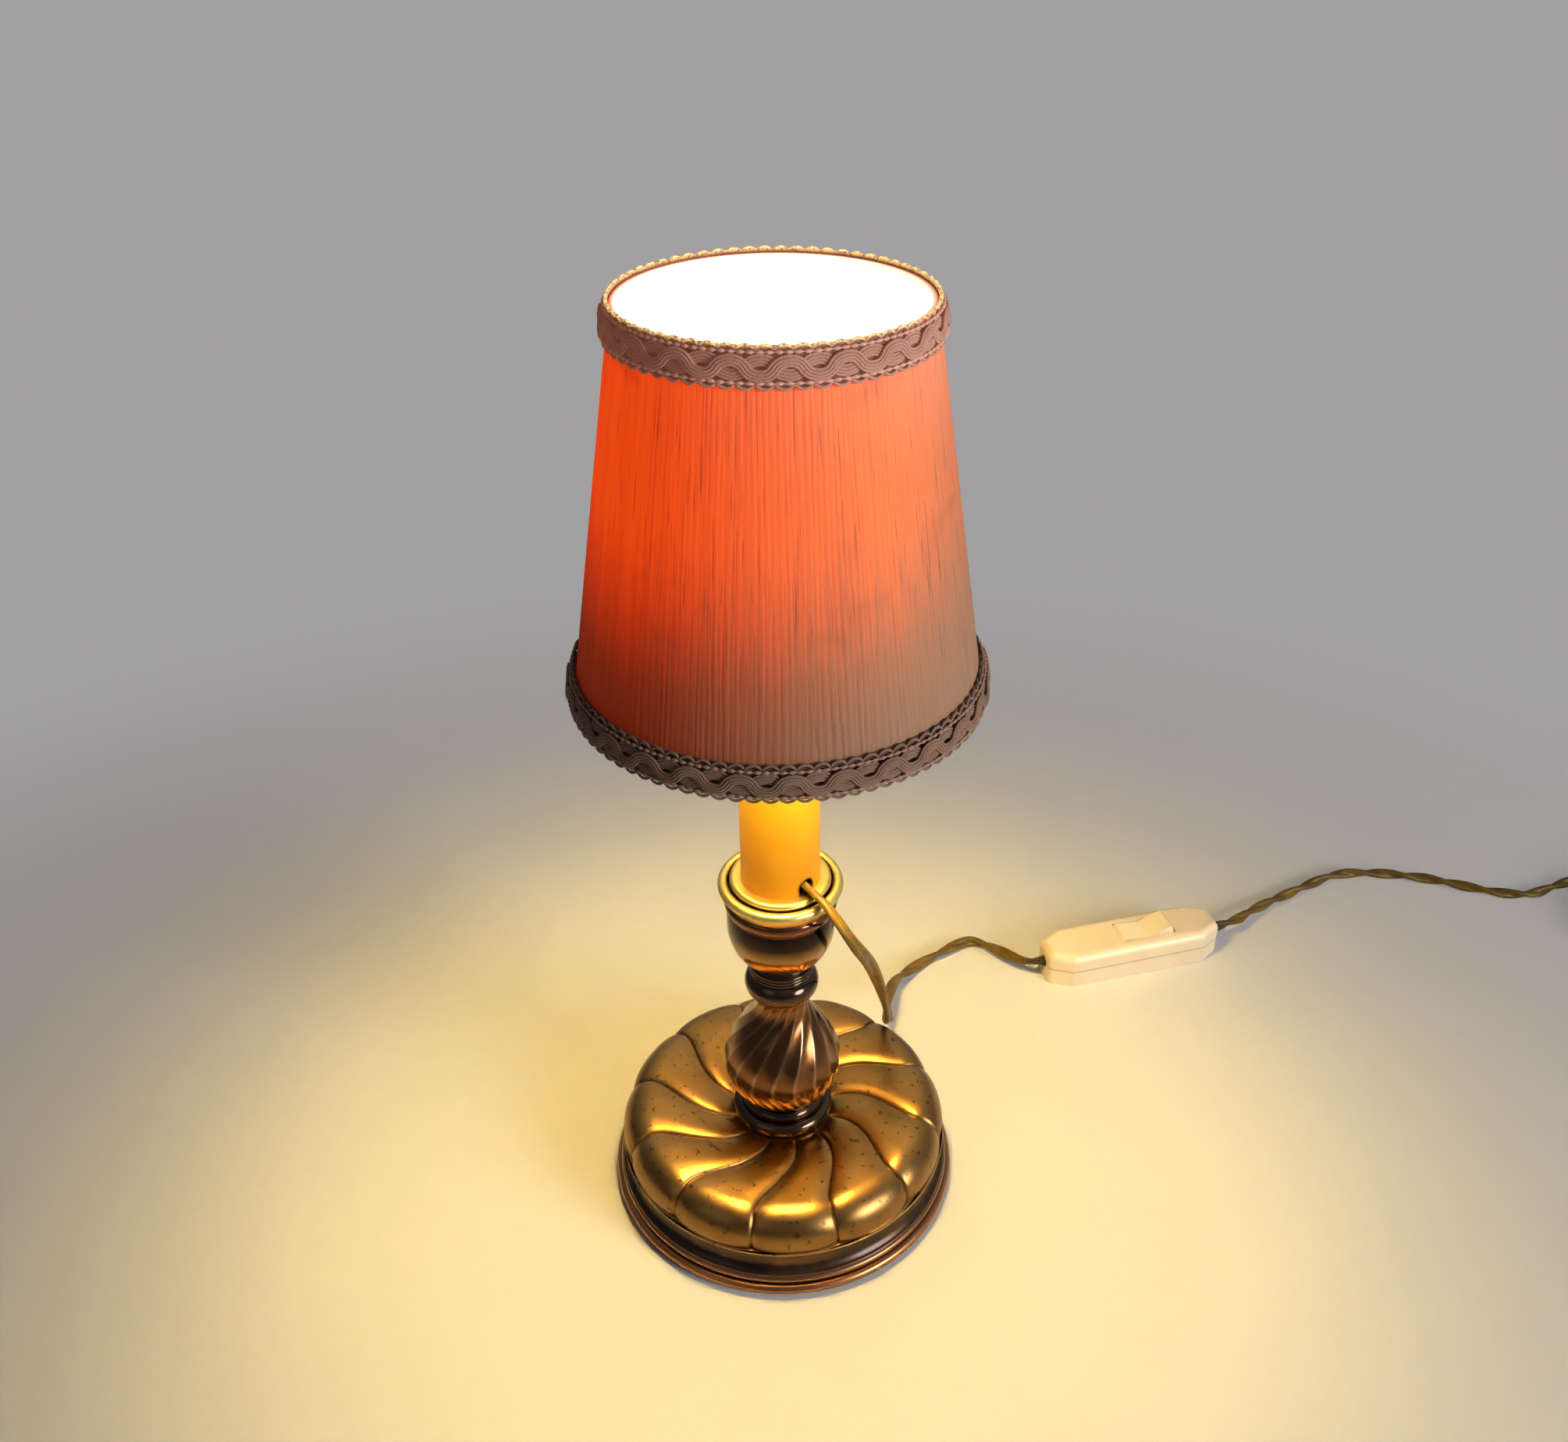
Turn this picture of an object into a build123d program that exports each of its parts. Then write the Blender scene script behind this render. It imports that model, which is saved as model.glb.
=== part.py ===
from build123d import *
from math import cos, hypot, pi, radians, sin, sqrt, tan
import os

# A small brass candlestick table lamp: a swirled foot, a ribbed knop, a candle cup and sleeve,
# a screw bulb with a clip-on shade, and a twin lead with an in-line rocker switch and a plug.
# Millimetres, +Z up, the table at z = 0 and the lamp's axis on Z. The front faces -Y.

# Clearances
SEAT_GAP = 0.15
SLIDE_GAP = 0.3
PIN_GAP = 0.08
THREAD_GAP = 0.3

# Foot, felt and ballast
FELT_THICKNESS = 1.0
FELT_INSET = 5.0
FOOT_RADIUS = 60.0
FOOT_HEIGHT = 16.0
FOOT_WALL = 10.0
FLANGE_HEIGHT = 3.6
FOOT_BEAD_INSET = 3.0
FOOT_BEAD_DEPTH = 1.6
FOOT_BEAD_HEIGHT = 4.0
FOOT_COVE_INSET = 5.4
LEDGE_WIDTH = 4.0
LEDGE_THICKNESS = 3.0
WEIGHT_THICKNESS = 8.0
WASHER_RADIUS = 12.0
WASHER_THICKNESS = 1.2
NUT_RADIUS = 8.0
NUT_HEIGHT = 3.0
ROD_RADIUS = 5.0
ROD_BORE = 3.9
ROD_END = 0.5

# Swirled dome
DOME_INSET = 3.5
DOME_ROUND = 10.5
DOME_SKIRT = 3.0
DOME_WALL = 3.0
DOME_LIP_DEPTH = 0.8
DOME_LIP_HEIGHT = 0.8
HUB_RADIUS = 16.5
HUB_DROP = 4.8
DOME_LOBES = 12
DOME_LOBE_ANGLE = 18.5
DOME_SWIRL_ANGLE = 25.0
GROOVE_CUTTER = 5.0
GROOVE_DEPTH = 1.6
GROOVE_BENDS = 6
GROOVE_STRAIGHT = 0.35

# Column
COLLAR_HEIGHT = 11.3
COLLAR_FLANGE_HEIGHT = 1.0
COLLAR_BEAD_HEIGHT = 5.2
COLLAR_RADIUS = 17.2
COLLAR_ROOT = 15.4
COLLAR_WAIST = 11.8
COLLAR_LIP = 13.0
KNOP_HEIGHT = 44.0
KNOP_RADIUS = 20.0
KNOP_RIBS = 17
KNOP_RIB_DEPTH = 1.4
KNOP_RIB_ANGLE = -4.7
KNOP_BELLY_ANGLE = 24.0
KNOP_NECK_ANGLE = 60.0
NECK_BEAD_RADIUS = 12.3
NECK_BEAD_HEIGHT = 9.0
NECK_RING_RADIUS = 10.7
NECK_RING_HEIGHT = 4.0
NECK_ROOT = 9.4
NECK_STEP = 0.5
CUP_HEIGHT = 27.5
CUP_RADIUS = 17.4
CUP_FOOT_RADIUS = 9.2
CUP_BOWL_HEIGHT = 17.0
CUP_LIP_HEIGHT = 3.5
CUP_LIP_DEPTH = 0.8
CUP_WALL = 2.0
CUP_FLOOR = 9.0
RIM_GAP = 0.35
RING_PLATE = 2.0
RING_RIM = 1.75
RING_RISE = 4.5
SEAT_RADIUS = 16.1
SEAT_HEIGHT = 5.5
SEAT_ROUND = 1.2
SEAT_RECESS = 3.5
CLAMP_NUT_RADIUS = 7.4
CLAMP_NUT_HEIGHT = 3.5

# Candle sleeve and lampholder
SLEEVE_RADIUS = 12.5
SLEEVE_WALL = 1.2
SLEEVE_LENGTH = 89.0
BRACKET_STRIP = 1.2
BRACKET_WIDTH = 7.0
HOLDER_LENGTH = 27.3
HOLDER_PROUD = 0.5
HOLDER_DEPTH = 18.0
SHELL_WALL = 0.5
SHELL_LENGTH = 16.0
CONTACT_THICKNESS = 0.8
CONTACT_RADIUS = 3.0
HOLDER_SCREW_RADIUS = 1.5
HOLDER_SCREW_LENGTH = 6.0
TERMINAL_SPACING = 13.0
TERMINAL_RADIUS = 1.2
TERMINAL_HEAD = 1.9
TERMINAL_LENGTH = 5.0

# Bulb
CAP_RADIUS = 6.7
CAP_WALL = 0.5
CAP_LENGTH = 20.0
TIP_RADIUS = 2.6
TIP_LENGTH = 1.8
INSULATOR_LENGTH = 2.6
BULB_LENGTH = 77.0
GLOBE_RADIUS = 22.5
GLASS_WALL = 0.8
FILAMENT_SPAN = 18.0
FILAMENT_WIRE = 0.4

# Bulb clip and tilt rivet
CLIP_WIRE = 0.8
CLIP_LOOP_ANGLE = 40.0
CLIP_LOOP_TILT = 43.0
SADDLE_LENGTH = 12.0
SADDLE_WIDTH = 6.0
SADDLE_THICKNESS = 2.0
EAR_THICKNESS = 1.2
EAR_RADIUS = 3.0
RIVET_RADIUS = 1.4
RIVET_HEAD = 2.3
RIVET_RISE = 29.4
BRIDGE_THICKNESS = 2.0

# Shade
SHADE_HEIGHT = 110.0
SHADE_DROP = 54.8
SHADE_BOTTOM_RADIUS = 58.3
SHADE_TOP_RADIUS = 40.7
COVER_THICKNESS = 1.2
LINING_THICKNESS = 0.5
FRAME_WIRE = 1.2
STRUT_WIRE = 0.8
STRUTS = 6
ARM_WIRE = 1.0
ARMS = 3
ARM_KNEE = 7.0
TRIM_OVERHANG = 1.8
BOTTOM_TRIM_HEIGHT = 11.3
BOTTOM_TRIM_THICKNESS = 3.0
TOP_TRIM_HEIGHT = 10.2
TOP_TRIM_THICKNESS = 2.2

# Twin lead, drawn as a round tube as wide as the flat cord
CORD = 4.6
CORE_RADIUS = 0.8
EXIT_ANGLE = -50.0
EXIT_INSIDE = 9.0
NOTCH_GAP = 0.35
LEAD_OUT = 11.0
LIE_GAP = 0.1

# In-line switch, in its own frame with X along the lead
SWITCH_LENGTH = 77.0
SWITCH_WIDTH = 21.0
SWITCH_END_WIDTH = 11.0
SWITCH_TAPER = 9.0
SWITCH_HEIGHT = 15.0
SWITCH_SPLIT = 7.5
SWITCH_WALL = 1.6
SWITCH_CORNER = 3.0
SWITCH_EDGE = 3.5
SWITCH_CENTRE = (146.5, 103.0)
SWITCH_ANGLE = 14.3
ROCKER_OFFSET = 6.0
ROCKER_LENGTH = 23.0
ROCKER_WIDTH = 10.4
ROCKER_DIP = 2.4
ROCKER_RISE = 5.0
ROCKER_BELLY = 2.0
ROCKER_DRAFT = 0.5
ROCKER_TILT = 8.0
ROCKER_PIVOT_HEIGHT = 11.8
ROCKER_PIN = 1.1
WINDOW_GAP = 0.5
LUG_WIDTH = 3.0
LUG_LENGTH = 6.0
LUG_DROP = 2.6
BRIDGE_STRIP = 0.5
BOSS_RADIUS = 3.0
BOSS_SPACING = 53.0
CASE_SCREW_RADIUS = 1.4
CASE_SCREW_HEAD = 2.5
CASE_SCREW_LENGTH = 9.0
CASE_SCREW_SINK = 0.3
TERMINAL_BLOCK = (8.0, 5.0, 4.5)
BLOCK_SPACING = 28.0
BLOCK_SIDE = 4.6
BLOCK_SCREW_RADIUS = 1.3
BLOCK_SCREW_HEIGHT = 1.2

# Stored coil of the lead, its tie and the plug
COIL_CENTRE = (390.0, 112.0)
COIL_INNER = 17.0
COIL_PITCH = 6.0
COIL_LAYER = 5.2
COIL_TURNS_IN = 3.5
COIL_TURNS_OUT = 3.25
TIE_THICKNESS = 0.6
TIE_WIDTH = 6.0
TIE_GAP = 0.2
TIE_ANGLE = 200.0
PLUG_LENGTH = 36.0
PLUG_WIDTH = 35.2
PLUG_THICKNESS = 14.4
PLUG_SHOULDER = 14.0
PLUG_BACK_WIDTH = 13.0
PLUG_EDGE = 2.5
RELIEF_LENGTH = 22.0
RELIEF_TIP = 3.2
RELIEF_ROOT = 5.0
PIN_RADIUS = 2.0
PIN_LENGTH = 19.0
PIN_SPACING = 18.6
PIN_SINK = 6.0

# Heights of the stack, from the table up
foot_bore = FOOT_RADIUS - FOOT_WALL
foot_top = FELT_THICKNESS + FOOT_HEIGHT
dome_centre = foot_top + DOME_SKIRT
crest_radius = FOOT_RADIUS - DOME_INSET - DOME_ROUND
crest = dome_centre + DOME_ROUND
hub_top = crest - HUB_DROP
collar_top = hub_top + COLLAR_HEIGHT
knop_top = collar_top + KNOP_HEIGHT
neck_top = knop_top + NECK_BEAD_HEIGHT + NECK_RING_HEIGHT + 2 * NECK_STEP
cup_top = neck_top + CUP_HEIGHT
plate_top = cup_top + RING_PLATE
seat_top = plate_top + SEAT_HEIGHT
recess_floor = seat_top - SEAT_RECESS
clamp_bottom = recess_floor + BRACKET_STRIP
clamp_top = clamp_bottom + CLAMP_NUT_HEIGHT
sleeve_top = seat_top + SLEEVE_LENGTH
sleeve_bore = SLEEVE_RADIUS - SLEEVE_WALL
holder_top = sleeve_top + HOLDER_PROUD
holder_bottom = holder_top - HOLDER_LENGTH
holder_floor = holder_top - HOLDER_DEPTH
contact_top = holder_floor + CONTACT_THICKNESS
tip_bottom = contact_top + SLIDE_GAP
cap_bottom = tip_bottom + TIP_LENGTH
cap_top = tip_bottom + CAP_LENGTH
globe_centre = tip_bottom + BULB_LENGTH - GLOBE_RADIUS
rivet_height = globe_centre + RIVET_RISE
shade_bottom = globe_centre - SHADE_DROP
shade_top = shade_bottom + SHADE_HEIGHT
rod_bore = ROD_RADIUS + SEAT_GAP
ledge_bottom = foot_top - LEDGE_THICKNESS
weight_bottom = ledge_bottom - WEIGHT_THICKNESS
washer_bottom = weight_bottom - WASHER_THICKNESS
nut_bottom = washer_bottom - NUT_HEIGHT
rim_radius = crest_radius + sqrt(DOME_ROUND**2 - DOME_SKIRT**2)
holder_bore = CAP_RADIUS + THREAD_GAP + SHELL_WALL + SEAT_GAP
cord_radius = CORD / 2
exit_height = seat_top + cord_radius + NOTCH_GAP


# Profiles are drawn as radius and height, and turned about the lamp's axis.
def at(radius, height):
    return Vector(radius, 0, height)


def lines(*points):
    return Polyline(*[at(*point) for point in points])


def bow(start, middle, end):
    return ThreePointArc(at(*start), at(*middle), at(*end))


def turned(*outline):
    edges = [edge for line in outline for edge in line.edges()]
    return revolve(make_face(edges), Axis.Z)


def ring_disc(outer, inner, bottom, top):
    return turned(lines((inner, bottom), (outer, bottom), (outer, top), (inner, top), (inner, bottom)))


def drum(radius, bottom, top):
    return Pos(0, 0, bottom) * extrude(Circle(radius), top - bottom)


def hex_nut(radius, bore, bottom, height):
    return Pos(0, 0, bottom) * extrude(RegularPolygon(radius, 6) - Circle(bore), height)


def on_circle(radius, angle, height):
    return Vector(radius * cos(radians(angle)), radius * sin(radians(angle)), height)


def wire_along(path, radius):
    section = Plane(path @ 0, z_dir=path % 0) * Circle(radius)
    return sweep(section, path=path)


def rod_between(start, end, radius):
    return wire_along(Line(start, end), radius)


def biarc(start, start_way, end, end_way):
    """Two arcs that leave start along start_way, meet smoothly and reach end along end_way."""
    span = end - start
    both = span.dot(start_way + end_way)
    bend = 2 * (1 - start_way.dot(end_way))
    reach = (sqrt(both**2 + bend * span.dot(span)) - both) / bend
    first = start + start_way * reach
    second = end - end_way * reach
    middle = (first + second) * 0.5
    return [
        Edge.make_tangent_arc(start, start_way, middle),
        Edge.make_tangent_arc(middle, (second - first).normalized(), end),
    ]


def heading(curve, place):
    """The direction of a curve, given as a function of place."""
    nudge = 0.001
    return (curve(place + nudge) - curve(place - nudge)).normalized()


def arcs_along(curve, places, ways):
    """Smoothly joined arcs through the points of a curve."""
    edges = []
    for start, end, start_way, end_way in zip(places, places[1:], ways, ways[1:]):
        edges += biarc(curve(start), start_way, curve(end), end_way)
    return edges


parts = {}

# Foot: a stepped ring with a rounded flange, a bead and a cove, and a ledge for the ballast.
flange_top = FELT_THICKNESS + FLANGE_HEIGHT
flange_root = FOOT_RADIUS - FLANGE_HEIGHT / 2
foot_bead_root = FOOT_RADIUS - FOOT_BEAD_INSET
foot_bead_top = flange_top + FOOT_BEAD_HEIGHT
foot_lip = rim_radius - SEAT_GAP
parts["base_foot"] = turned(
    lines((foot_bore, FELT_THICKNESS), (flange_root, FELT_THICKNESS)),
    bow(
        (flange_root, FELT_THICKNESS),
        (FOOT_RADIUS, FELT_THICKNESS + FLANGE_HEIGHT / 2),
        (flange_root, flange_top),
    ),
    lines((flange_root, flange_top), (foot_bead_root, flange_top)),
    bow(
        (foot_bead_root, flange_top),
        (foot_bead_root + FOOT_BEAD_DEPTH, flange_top + FOOT_BEAD_HEIGHT / 2),
        (foot_bead_root, foot_bead_top),
    ),
    bow(
        (foot_bead_root, foot_bead_top),
        (FOOT_RADIUS - FOOT_COVE_INSET, (foot_bead_top + foot_top) / 2),
        (foot_lip, foot_top),
    ),
    lines(
        (foot_lip, foot_top),
        (foot_bore - LEDGE_WIDTH, foot_top),
        (foot_bore - LEDGE_WIDTH, ledge_bottom),
        (foot_bore, ledge_bottom),
        (foot_bore, FELT_THICKNESS),
    ),
)
parts["felt_pad"] = drum(FOOT_RADIUS - FELT_INSET, 0, FELT_THICKNESS)
parts["base_weight"] = ring_disc(foot_bore - SEAT_GAP, rod_bore, weight_bottom, ledge_bottom)
parts["base_washer"] = ring_disc(WASHER_RADIUS, rod_bore, washer_bottom, weight_bottom)
parts["base_nut"] = hex_nut(NUT_RADIUS, rod_bore, nut_bottom, NUT_HEIGHT)
parts["stem_rod"] = ring_disc(ROD_RADIUS, ROD_BORE, nut_bottom - ROD_END, clamp_top + ROD_END)

# Dome: a shoulder arc up to the crest, then a long slope down to the hub, with swirled grooves.
slope_run = crest_radius - HUB_RADIUS
slope_round = (slope_run**2 + HUB_DROP**2) / (2 * HUB_DROP)


def dome_slope(inset, run):
    """Radius and height on the slope, inset below the outside, at a run in from the crest."""
    fall = slope_round - sqrt(slope_round**2 - run**2)
    share = (slope_round - inset) / slope_round
    return crest_radius - run * share, crest - inset - fall * share


def dome_face(inset):
    """The dome's outside, or its inside at the wall's thickness, as far as the hub."""
    round_off = DOME_ROUND - inset
    rim = (crest_radius + sqrt(round_off**2 - DOME_SKIRT**2), foot_top)
    side = (crest_radius + round_off * cos(pi / 4), dome_centre + round_off * sin(pi / 4))
    middle = dome_slope(inset, slope_run / 2)
    hub = dome_slope(inset, slope_run)
    top = (crest_radius, crest - inset)
    return rim, hub, [bow(rim, side, top), bow(top, middle, hub)]


outer_rim, outer_hub, outside = dome_face(0)
inner_rim, inner_hub, inside = dome_face(DOME_WALL)
dome = turned(
    *outside,
    lines(outer_hub, (rod_bore, hub_top), (rod_bore, inner_hub[1]), inner_hub),
    *inside,
    lines(inner_rim, outer_rim),
)


def groove_point(share):
    """The groove cutter's centre, from below the rim at 0 to under the collar at 1."""
    lift = GROOVE_CUTTER - GROOVE_DEPTH * sin(pi * (0.25 + 0.6 * share))
    sweep = max(0.0, (share - GROOVE_STRAIGHT) / (1 - GROOVE_STRAIGHT))
    turn = DOME_LOBE_ANGLE + DOME_SWIRL_ANGLE * sweep * sweep * (3 - 2 * sweep)
    bend = 0.4
    if share < bend:
        climb = radians(-25 + 115 * share / bend)
        radius = crest_radius + (DOME_ROUND + lift) * cos(climb)
        height = dome_centre + (DOME_ROUND + lift) * sin(climb)
    else:
        radius, height = dome_slope(-lift, slope_run * (share - bend) / (1 - bend))
    return on_circle(radius, turn, height)


groove_places = [bend / GROOVE_BENDS for bend in range(GROOVE_BENDS + 1)]
groove_ways = [heading(groove_point, place) for place in groove_places]
groove = wire_along(Wire(arcs_along(groove_point, groove_places, groove_ways)), GROOVE_CUTTER)
for lobe in range(DOME_LOBES):
    dome -= Rot(0, 0, lobe * 360 / DOME_LOBES) * groove
lip_radius = rim_radius + DOME_LIP_DEPTH
parts["base_dome"] = dome + ring_disc(lip_radius, inner_rim[0], foot_top, foot_top + DOME_LIP_HEIGHT)

# Lower collar: a flange, a bead and a cove up to the knop.
collar_bead = hub_top + COLLAR_FLANGE_HEIGHT
collar_bead_top = collar_bead + COLLAR_BEAD_HEIGHT
collar_flange = HUB_RADIUS - SEAT_GAP
parts["lower_collar"] = turned(
    lines(
        (rod_bore, collar_top),
        (rod_bore, hub_top),
        (collar_flange, hub_top),
        (collar_flange, collar_bead),
        (COLLAR_ROOT, collar_bead),
    ),
    bow(
        (COLLAR_ROOT, collar_bead),
        (COLLAR_RADIUS, collar_bead + COLLAR_BEAD_HEIGHT / 2),
        (COLLAR_ROOT, collar_bead_top),
    ),
    bow(
        (COLLAR_ROOT, collar_bead_top),
        (COLLAR_WAIST, (collar_bead_top + collar_top) / 2),
        (COLLAR_LIP, collar_top),
    ),
    lines((COLLAR_LIP, collar_top), (rod_bore, collar_top)),
)

# Knop: a ribbed onion, its ribs straight at the belly and swirled away from it, down and up.
# Each station is a share of the knop's height and of its greatest radius.
KNOP_STATIONS = [
    (0.0, 0.63),
    (0.06, 0.80),
    (0.16, 0.935),
    (0.31, 1.0),
    (0.46, 0.945),
    (0.60, 0.80),
    (0.72, 0.63),
    (0.83, 0.49),
    (0.92, 0.44),
    (1.0, 0.46),
]
knop_widest = max(KNOP_STATIONS, key=lambda station: station[1])[0]


def knop_section(height, share):
    """One ribbed outline of the knop: a small arc for each rib."""
    radius = KNOP_RADIUS * share
    below = max(0.0, 1 - height / knop_widest)
    above = max(0.0, (height - knop_widest) / (1 - knop_widest))
    start = KNOP_RIB_ANGLE + KNOP_BELLY_ANGLE * below**2 + KNOP_NECK_ANGLE * above**2
    z = collar_top + KNOP_HEIGHT * height
    step = 360 / KNOP_RIBS
    valley = radius - KNOP_RIB_DEPTH * share
    ribs = [
        ThreePointArc(
            on_circle(valley, start + rib * step, z),
            on_circle(radius, start + (rib + 0.5) * step, z),
            on_circle(valley, start + (rib + 1) * step, z),
        )
        for rib in range(KNOP_RIBS)
    ]
    return make_face(ribs)


knop = loft([knop_section(*station) for station in KNOP_STATIONS])
parts["swirl_knop"] = knop - drum(rod_bore, collar_top, knop_top)

# Neck collar: a large bead with a thin ring on it.
neck_bead = knop_top + NECK_STEP
neck_bead_top = neck_bead + NECK_BEAD_HEIGHT
neck_ring_top = neck_bead_top + NECK_RING_HEIGHT
parts["neck_collar"] = turned(
    lines((rod_bore, knop_top), (NECK_ROOT, knop_top), (NECK_ROOT, neck_bead)),
    bow(
        (NECK_ROOT, neck_bead),
        (NECK_BEAD_RADIUS, neck_bead + NECK_BEAD_HEIGHT / 2),
        (NECK_ROOT, neck_bead_top),
    ),
    bow(
        (NECK_ROOT, neck_bead_top),
        (NECK_RING_RADIUS, neck_bead_top + NECK_RING_HEIGHT / 2),
        (NECK_ROOT, neck_ring_top),
    ),
    lines(
        (NECK_ROOT, neck_ring_top),
        (NECK_ROOT, neck_top),
        (rod_bore, neck_top),
        (rod_bore, knop_top),
    ),
)

# Candle cup: a round-bottomed bowl with a lip, hollow above its floor.
bowl_top = neck_top + CUP_BOWL_HEIGHT
lip_bottom = cup_top - CUP_LIP_HEIGHT
cup_spread = CUP_RADIUS - CUP_FOOT_RADIUS
cup_bore = CUP_RADIUS - CUP_WALL
parts["candle_cup"] = turned(
    lines((rod_bore, neck_top), (CUP_FOOT_RADIUS, neck_top)),
    bow(
        (CUP_FOOT_RADIUS, neck_top),
        (CUP_FOOT_RADIUS + 0.70 * cup_spread, neck_top + 0.38 * CUP_BOWL_HEIGHT),
        (CUP_RADIUS, bowl_top),
    ),
    lines((CUP_RADIUS, bowl_top), (CUP_RADIUS, lip_bottom)),
    bow(
        (CUP_RADIUS, lip_bottom),
        (CUP_RADIUS + CUP_LIP_DEPTH, lip_bottom + CUP_LIP_HEIGHT / 2),
        (CUP_RADIUS, cup_top),
    ),
    lines(
        (CUP_RADIUS, cup_top),
        (cup_bore, cup_top),
        (cup_bore, bowl_top),
        (cup_bore - CUP_WALL, neck_top + CUP_FLOOR),
        (rod_bore, neck_top + CUP_FLOOR),
        (rod_bore, neck_top),
    ),
)

# Drip ring: a plate on the cup with a rolled rim, and the seat of the sleeve in it.
rim_centre = SEAT_RADIUS + RIM_GAP + RING_RIM
rim_height = cup_top + RING_RISE
web = lines(
    (rod_bore, cup_top),
    (CUP_RADIUS, cup_top),
    (rim_centre + RING_RIM / 2, rim_height - RING_RIM / 2),
    (rim_centre - RING_RIM / 2, rim_height),
    (SEAT_RADIUS + SEAT_GAP, plate_top),
    (rod_bore, plate_top),
    (rod_bore, cup_top),
)
rolled_rim = Pos(0, 0, rim_height) * Torus(rim_centre, RING_RIM)
parts["drip_ring"] = turned(web) + rolled_rim
recess_radius = sleeve_bore - SLEEVE_WALL / 2
parts["sleeve_seat"] = turned(
    lines(
        (SEAT_RADIUS - SEAT_ROUND, seat_top),
        (recess_radius, seat_top),
        (recess_radius, recess_floor),
        (rod_bore, recess_floor),
        (rod_bore, plate_top),
        (SEAT_RADIUS, plate_top),
        (SEAT_RADIUS, seat_top - SEAT_ROUND),
    ),
    bow(
        (SEAT_RADIUS, seat_top - SEAT_ROUND),
        (SEAT_RADIUS - SEAT_ROUND * (1 - cos(pi / 4)), seat_top - SEAT_ROUND * (1 - sin(pi / 4))),
        (SEAT_RADIUS - SEAT_ROUND, seat_top),
    ),
)
parts["clamp_nut"] = hex_nut(CLAMP_NUT_RADIUS, rod_bore, clamp_bottom, CLAMP_NUT_HEIGHT)

# Candle sleeve: a plain tube with an arched notch at its foot for the lead.
notch_radius = cord_radius + NOTCH_GAP
notch = Pos(0, 0, exit_height) * (
    Rot(0, 90, 0) * extrude(Circle(notch_radius), 2 * SLEEVE_RADIUS)
    + Pos(SLEEVE_RADIUS, 0, -notch_radius) * Box(2 * SLEEVE_RADIUS, 2 * notch_radius, 2 * notch_radius)
)
sleeve = ring_disc(SLEEVE_RADIUS, sleeve_bore, seat_top, sleeve_top)
parts["candle_sleeve"] = sleeve - Rot(0, 0, EXIT_ANGLE) * notch

# Lampholder on a strip bracket that the clamp nut holds on the rod.
leg_inside = CLAMP_NUT_RADIUS + SLIDE_GAP
leg_outside = leg_inside + BRACKET_STRIP
foot_plate = drum(leg_outside, recess_floor, clamp_bottom) - drum(rod_bore, recess_floor, clamp_bottom)
leg = Pos(0, (leg_inside + leg_outside) / 2, (recess_floor + holder_bottom) / 2) * Box(
    BRACKET_WIDTH, BRACKET_STRIP, holder_bottom - recess_floor
)
top_strip = Pos(0, leg_outside / 2 - BRACKET_WIDTH / 4, holder_bottom - BRACKET_STRIP / 2) * Box(
    BRACKET_WIDTH, leg_outside + BRACKET_WIDTH / 2, BRACKET_STRIP
)
screw_hole = HOLDER_SCREW_RADIUS + SEAT_GAP
strip_bottom = holder_bottom - BRACKET_STRIP
screw_passage = drum(screw_hole, strip_bottom, holder_bottom)
parts["holder_bracket"] = foot_plate + leg + top_strip - screw_passage
screw_top = strip_bottom + HOLDER_SCREW_LENGTH
parts["holder_screw"] = drum(HOLDER_SCREW_RADIUS, strip_bottom, screw_top) + drum(
    2 * HOLDER_SCREW_RADIUS, strip_bottom - HOLDER_SCREW_RADIUS, strip_bottom
)
holder_radius = sleeve_bore - 2 * SEAT_GAP
terminals = [Pos(side * TERMINAL_SPACING / 2, 0, 0) for side in (-1, 1)]
terminal_top = holder_bottom + TERMINAL_LENGTH
holder = drum(holder_radius, holder_bottom, holder_top)
holder -= drum(holder_bore, holder_floor, holder_top)
holder -= drum(screw_hole, holder_bottom, screw_top + SEAT_GAP)
for place in terminals:
    holder -= place * drum(TERMINAL_RADIUS + SEAT_GAP, holder_bottom, terminal_top + SEAT_GAP)
parts["holder_body"] = holder
shell_outside = holder_bore - SEAT_GAP
parts["holder_thread"] = ring_disc(
    shell_outside, shell_outside - SHELL_WALL, holder_top - SHELL_LENGTH, holder_top - SHELL_WALL
)
parts["centre_contact"] = drum(CONTACT_RADIUS, holder_floor, contact_top)
terminal_screw = drum(TERMINAL_RADIUS, holder_bottom, terminal_top) + drum(
    TERMINAL_HEAD, holder_bottom - TERMINAL_RADIUS, holder_bottom
)
parts["terminal_screws"] = Compound([place * terminal_screw for place in terminals])

# The lead's two cores, from its end inside the sleeve up to the lampholder's terminals.
lead_start = on_circle(EXIT_INSIDE, EXIT_ANGLE, exit_height)
lead_way = on_circle(1, EXIT_ANGLE, 0)
lead_side = on_circle(1, EXIT_ANGLE + 90, 0)
cores = []
for side in (-1, 1):
    splay = lead_start + lead_side * (side * (CORE_RADIUS + SEAT_GAP))
    under = Vector(side * TERMINAL_SPACING / 2, 0, holder_bottom - TERMINAL_RADIUS - SEAT_GAP)
    knee = splay - lead_way * (SEAT_GAP + 4 * CORE_RADIUS)
    route = FilletPolyline(
        splay - lead_way * SEAT_GAP,
        knee,
        Vector(under.X, knee.Y, clamp_top + (holder_bottom - clamp_top) / 2),
        under,
        radius=2 * CORE_RADIUS,
    )
    cores.append(wire_along(route, CORE_RADIUS))
parts["holder_cores"] = Compound(cores)

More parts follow.
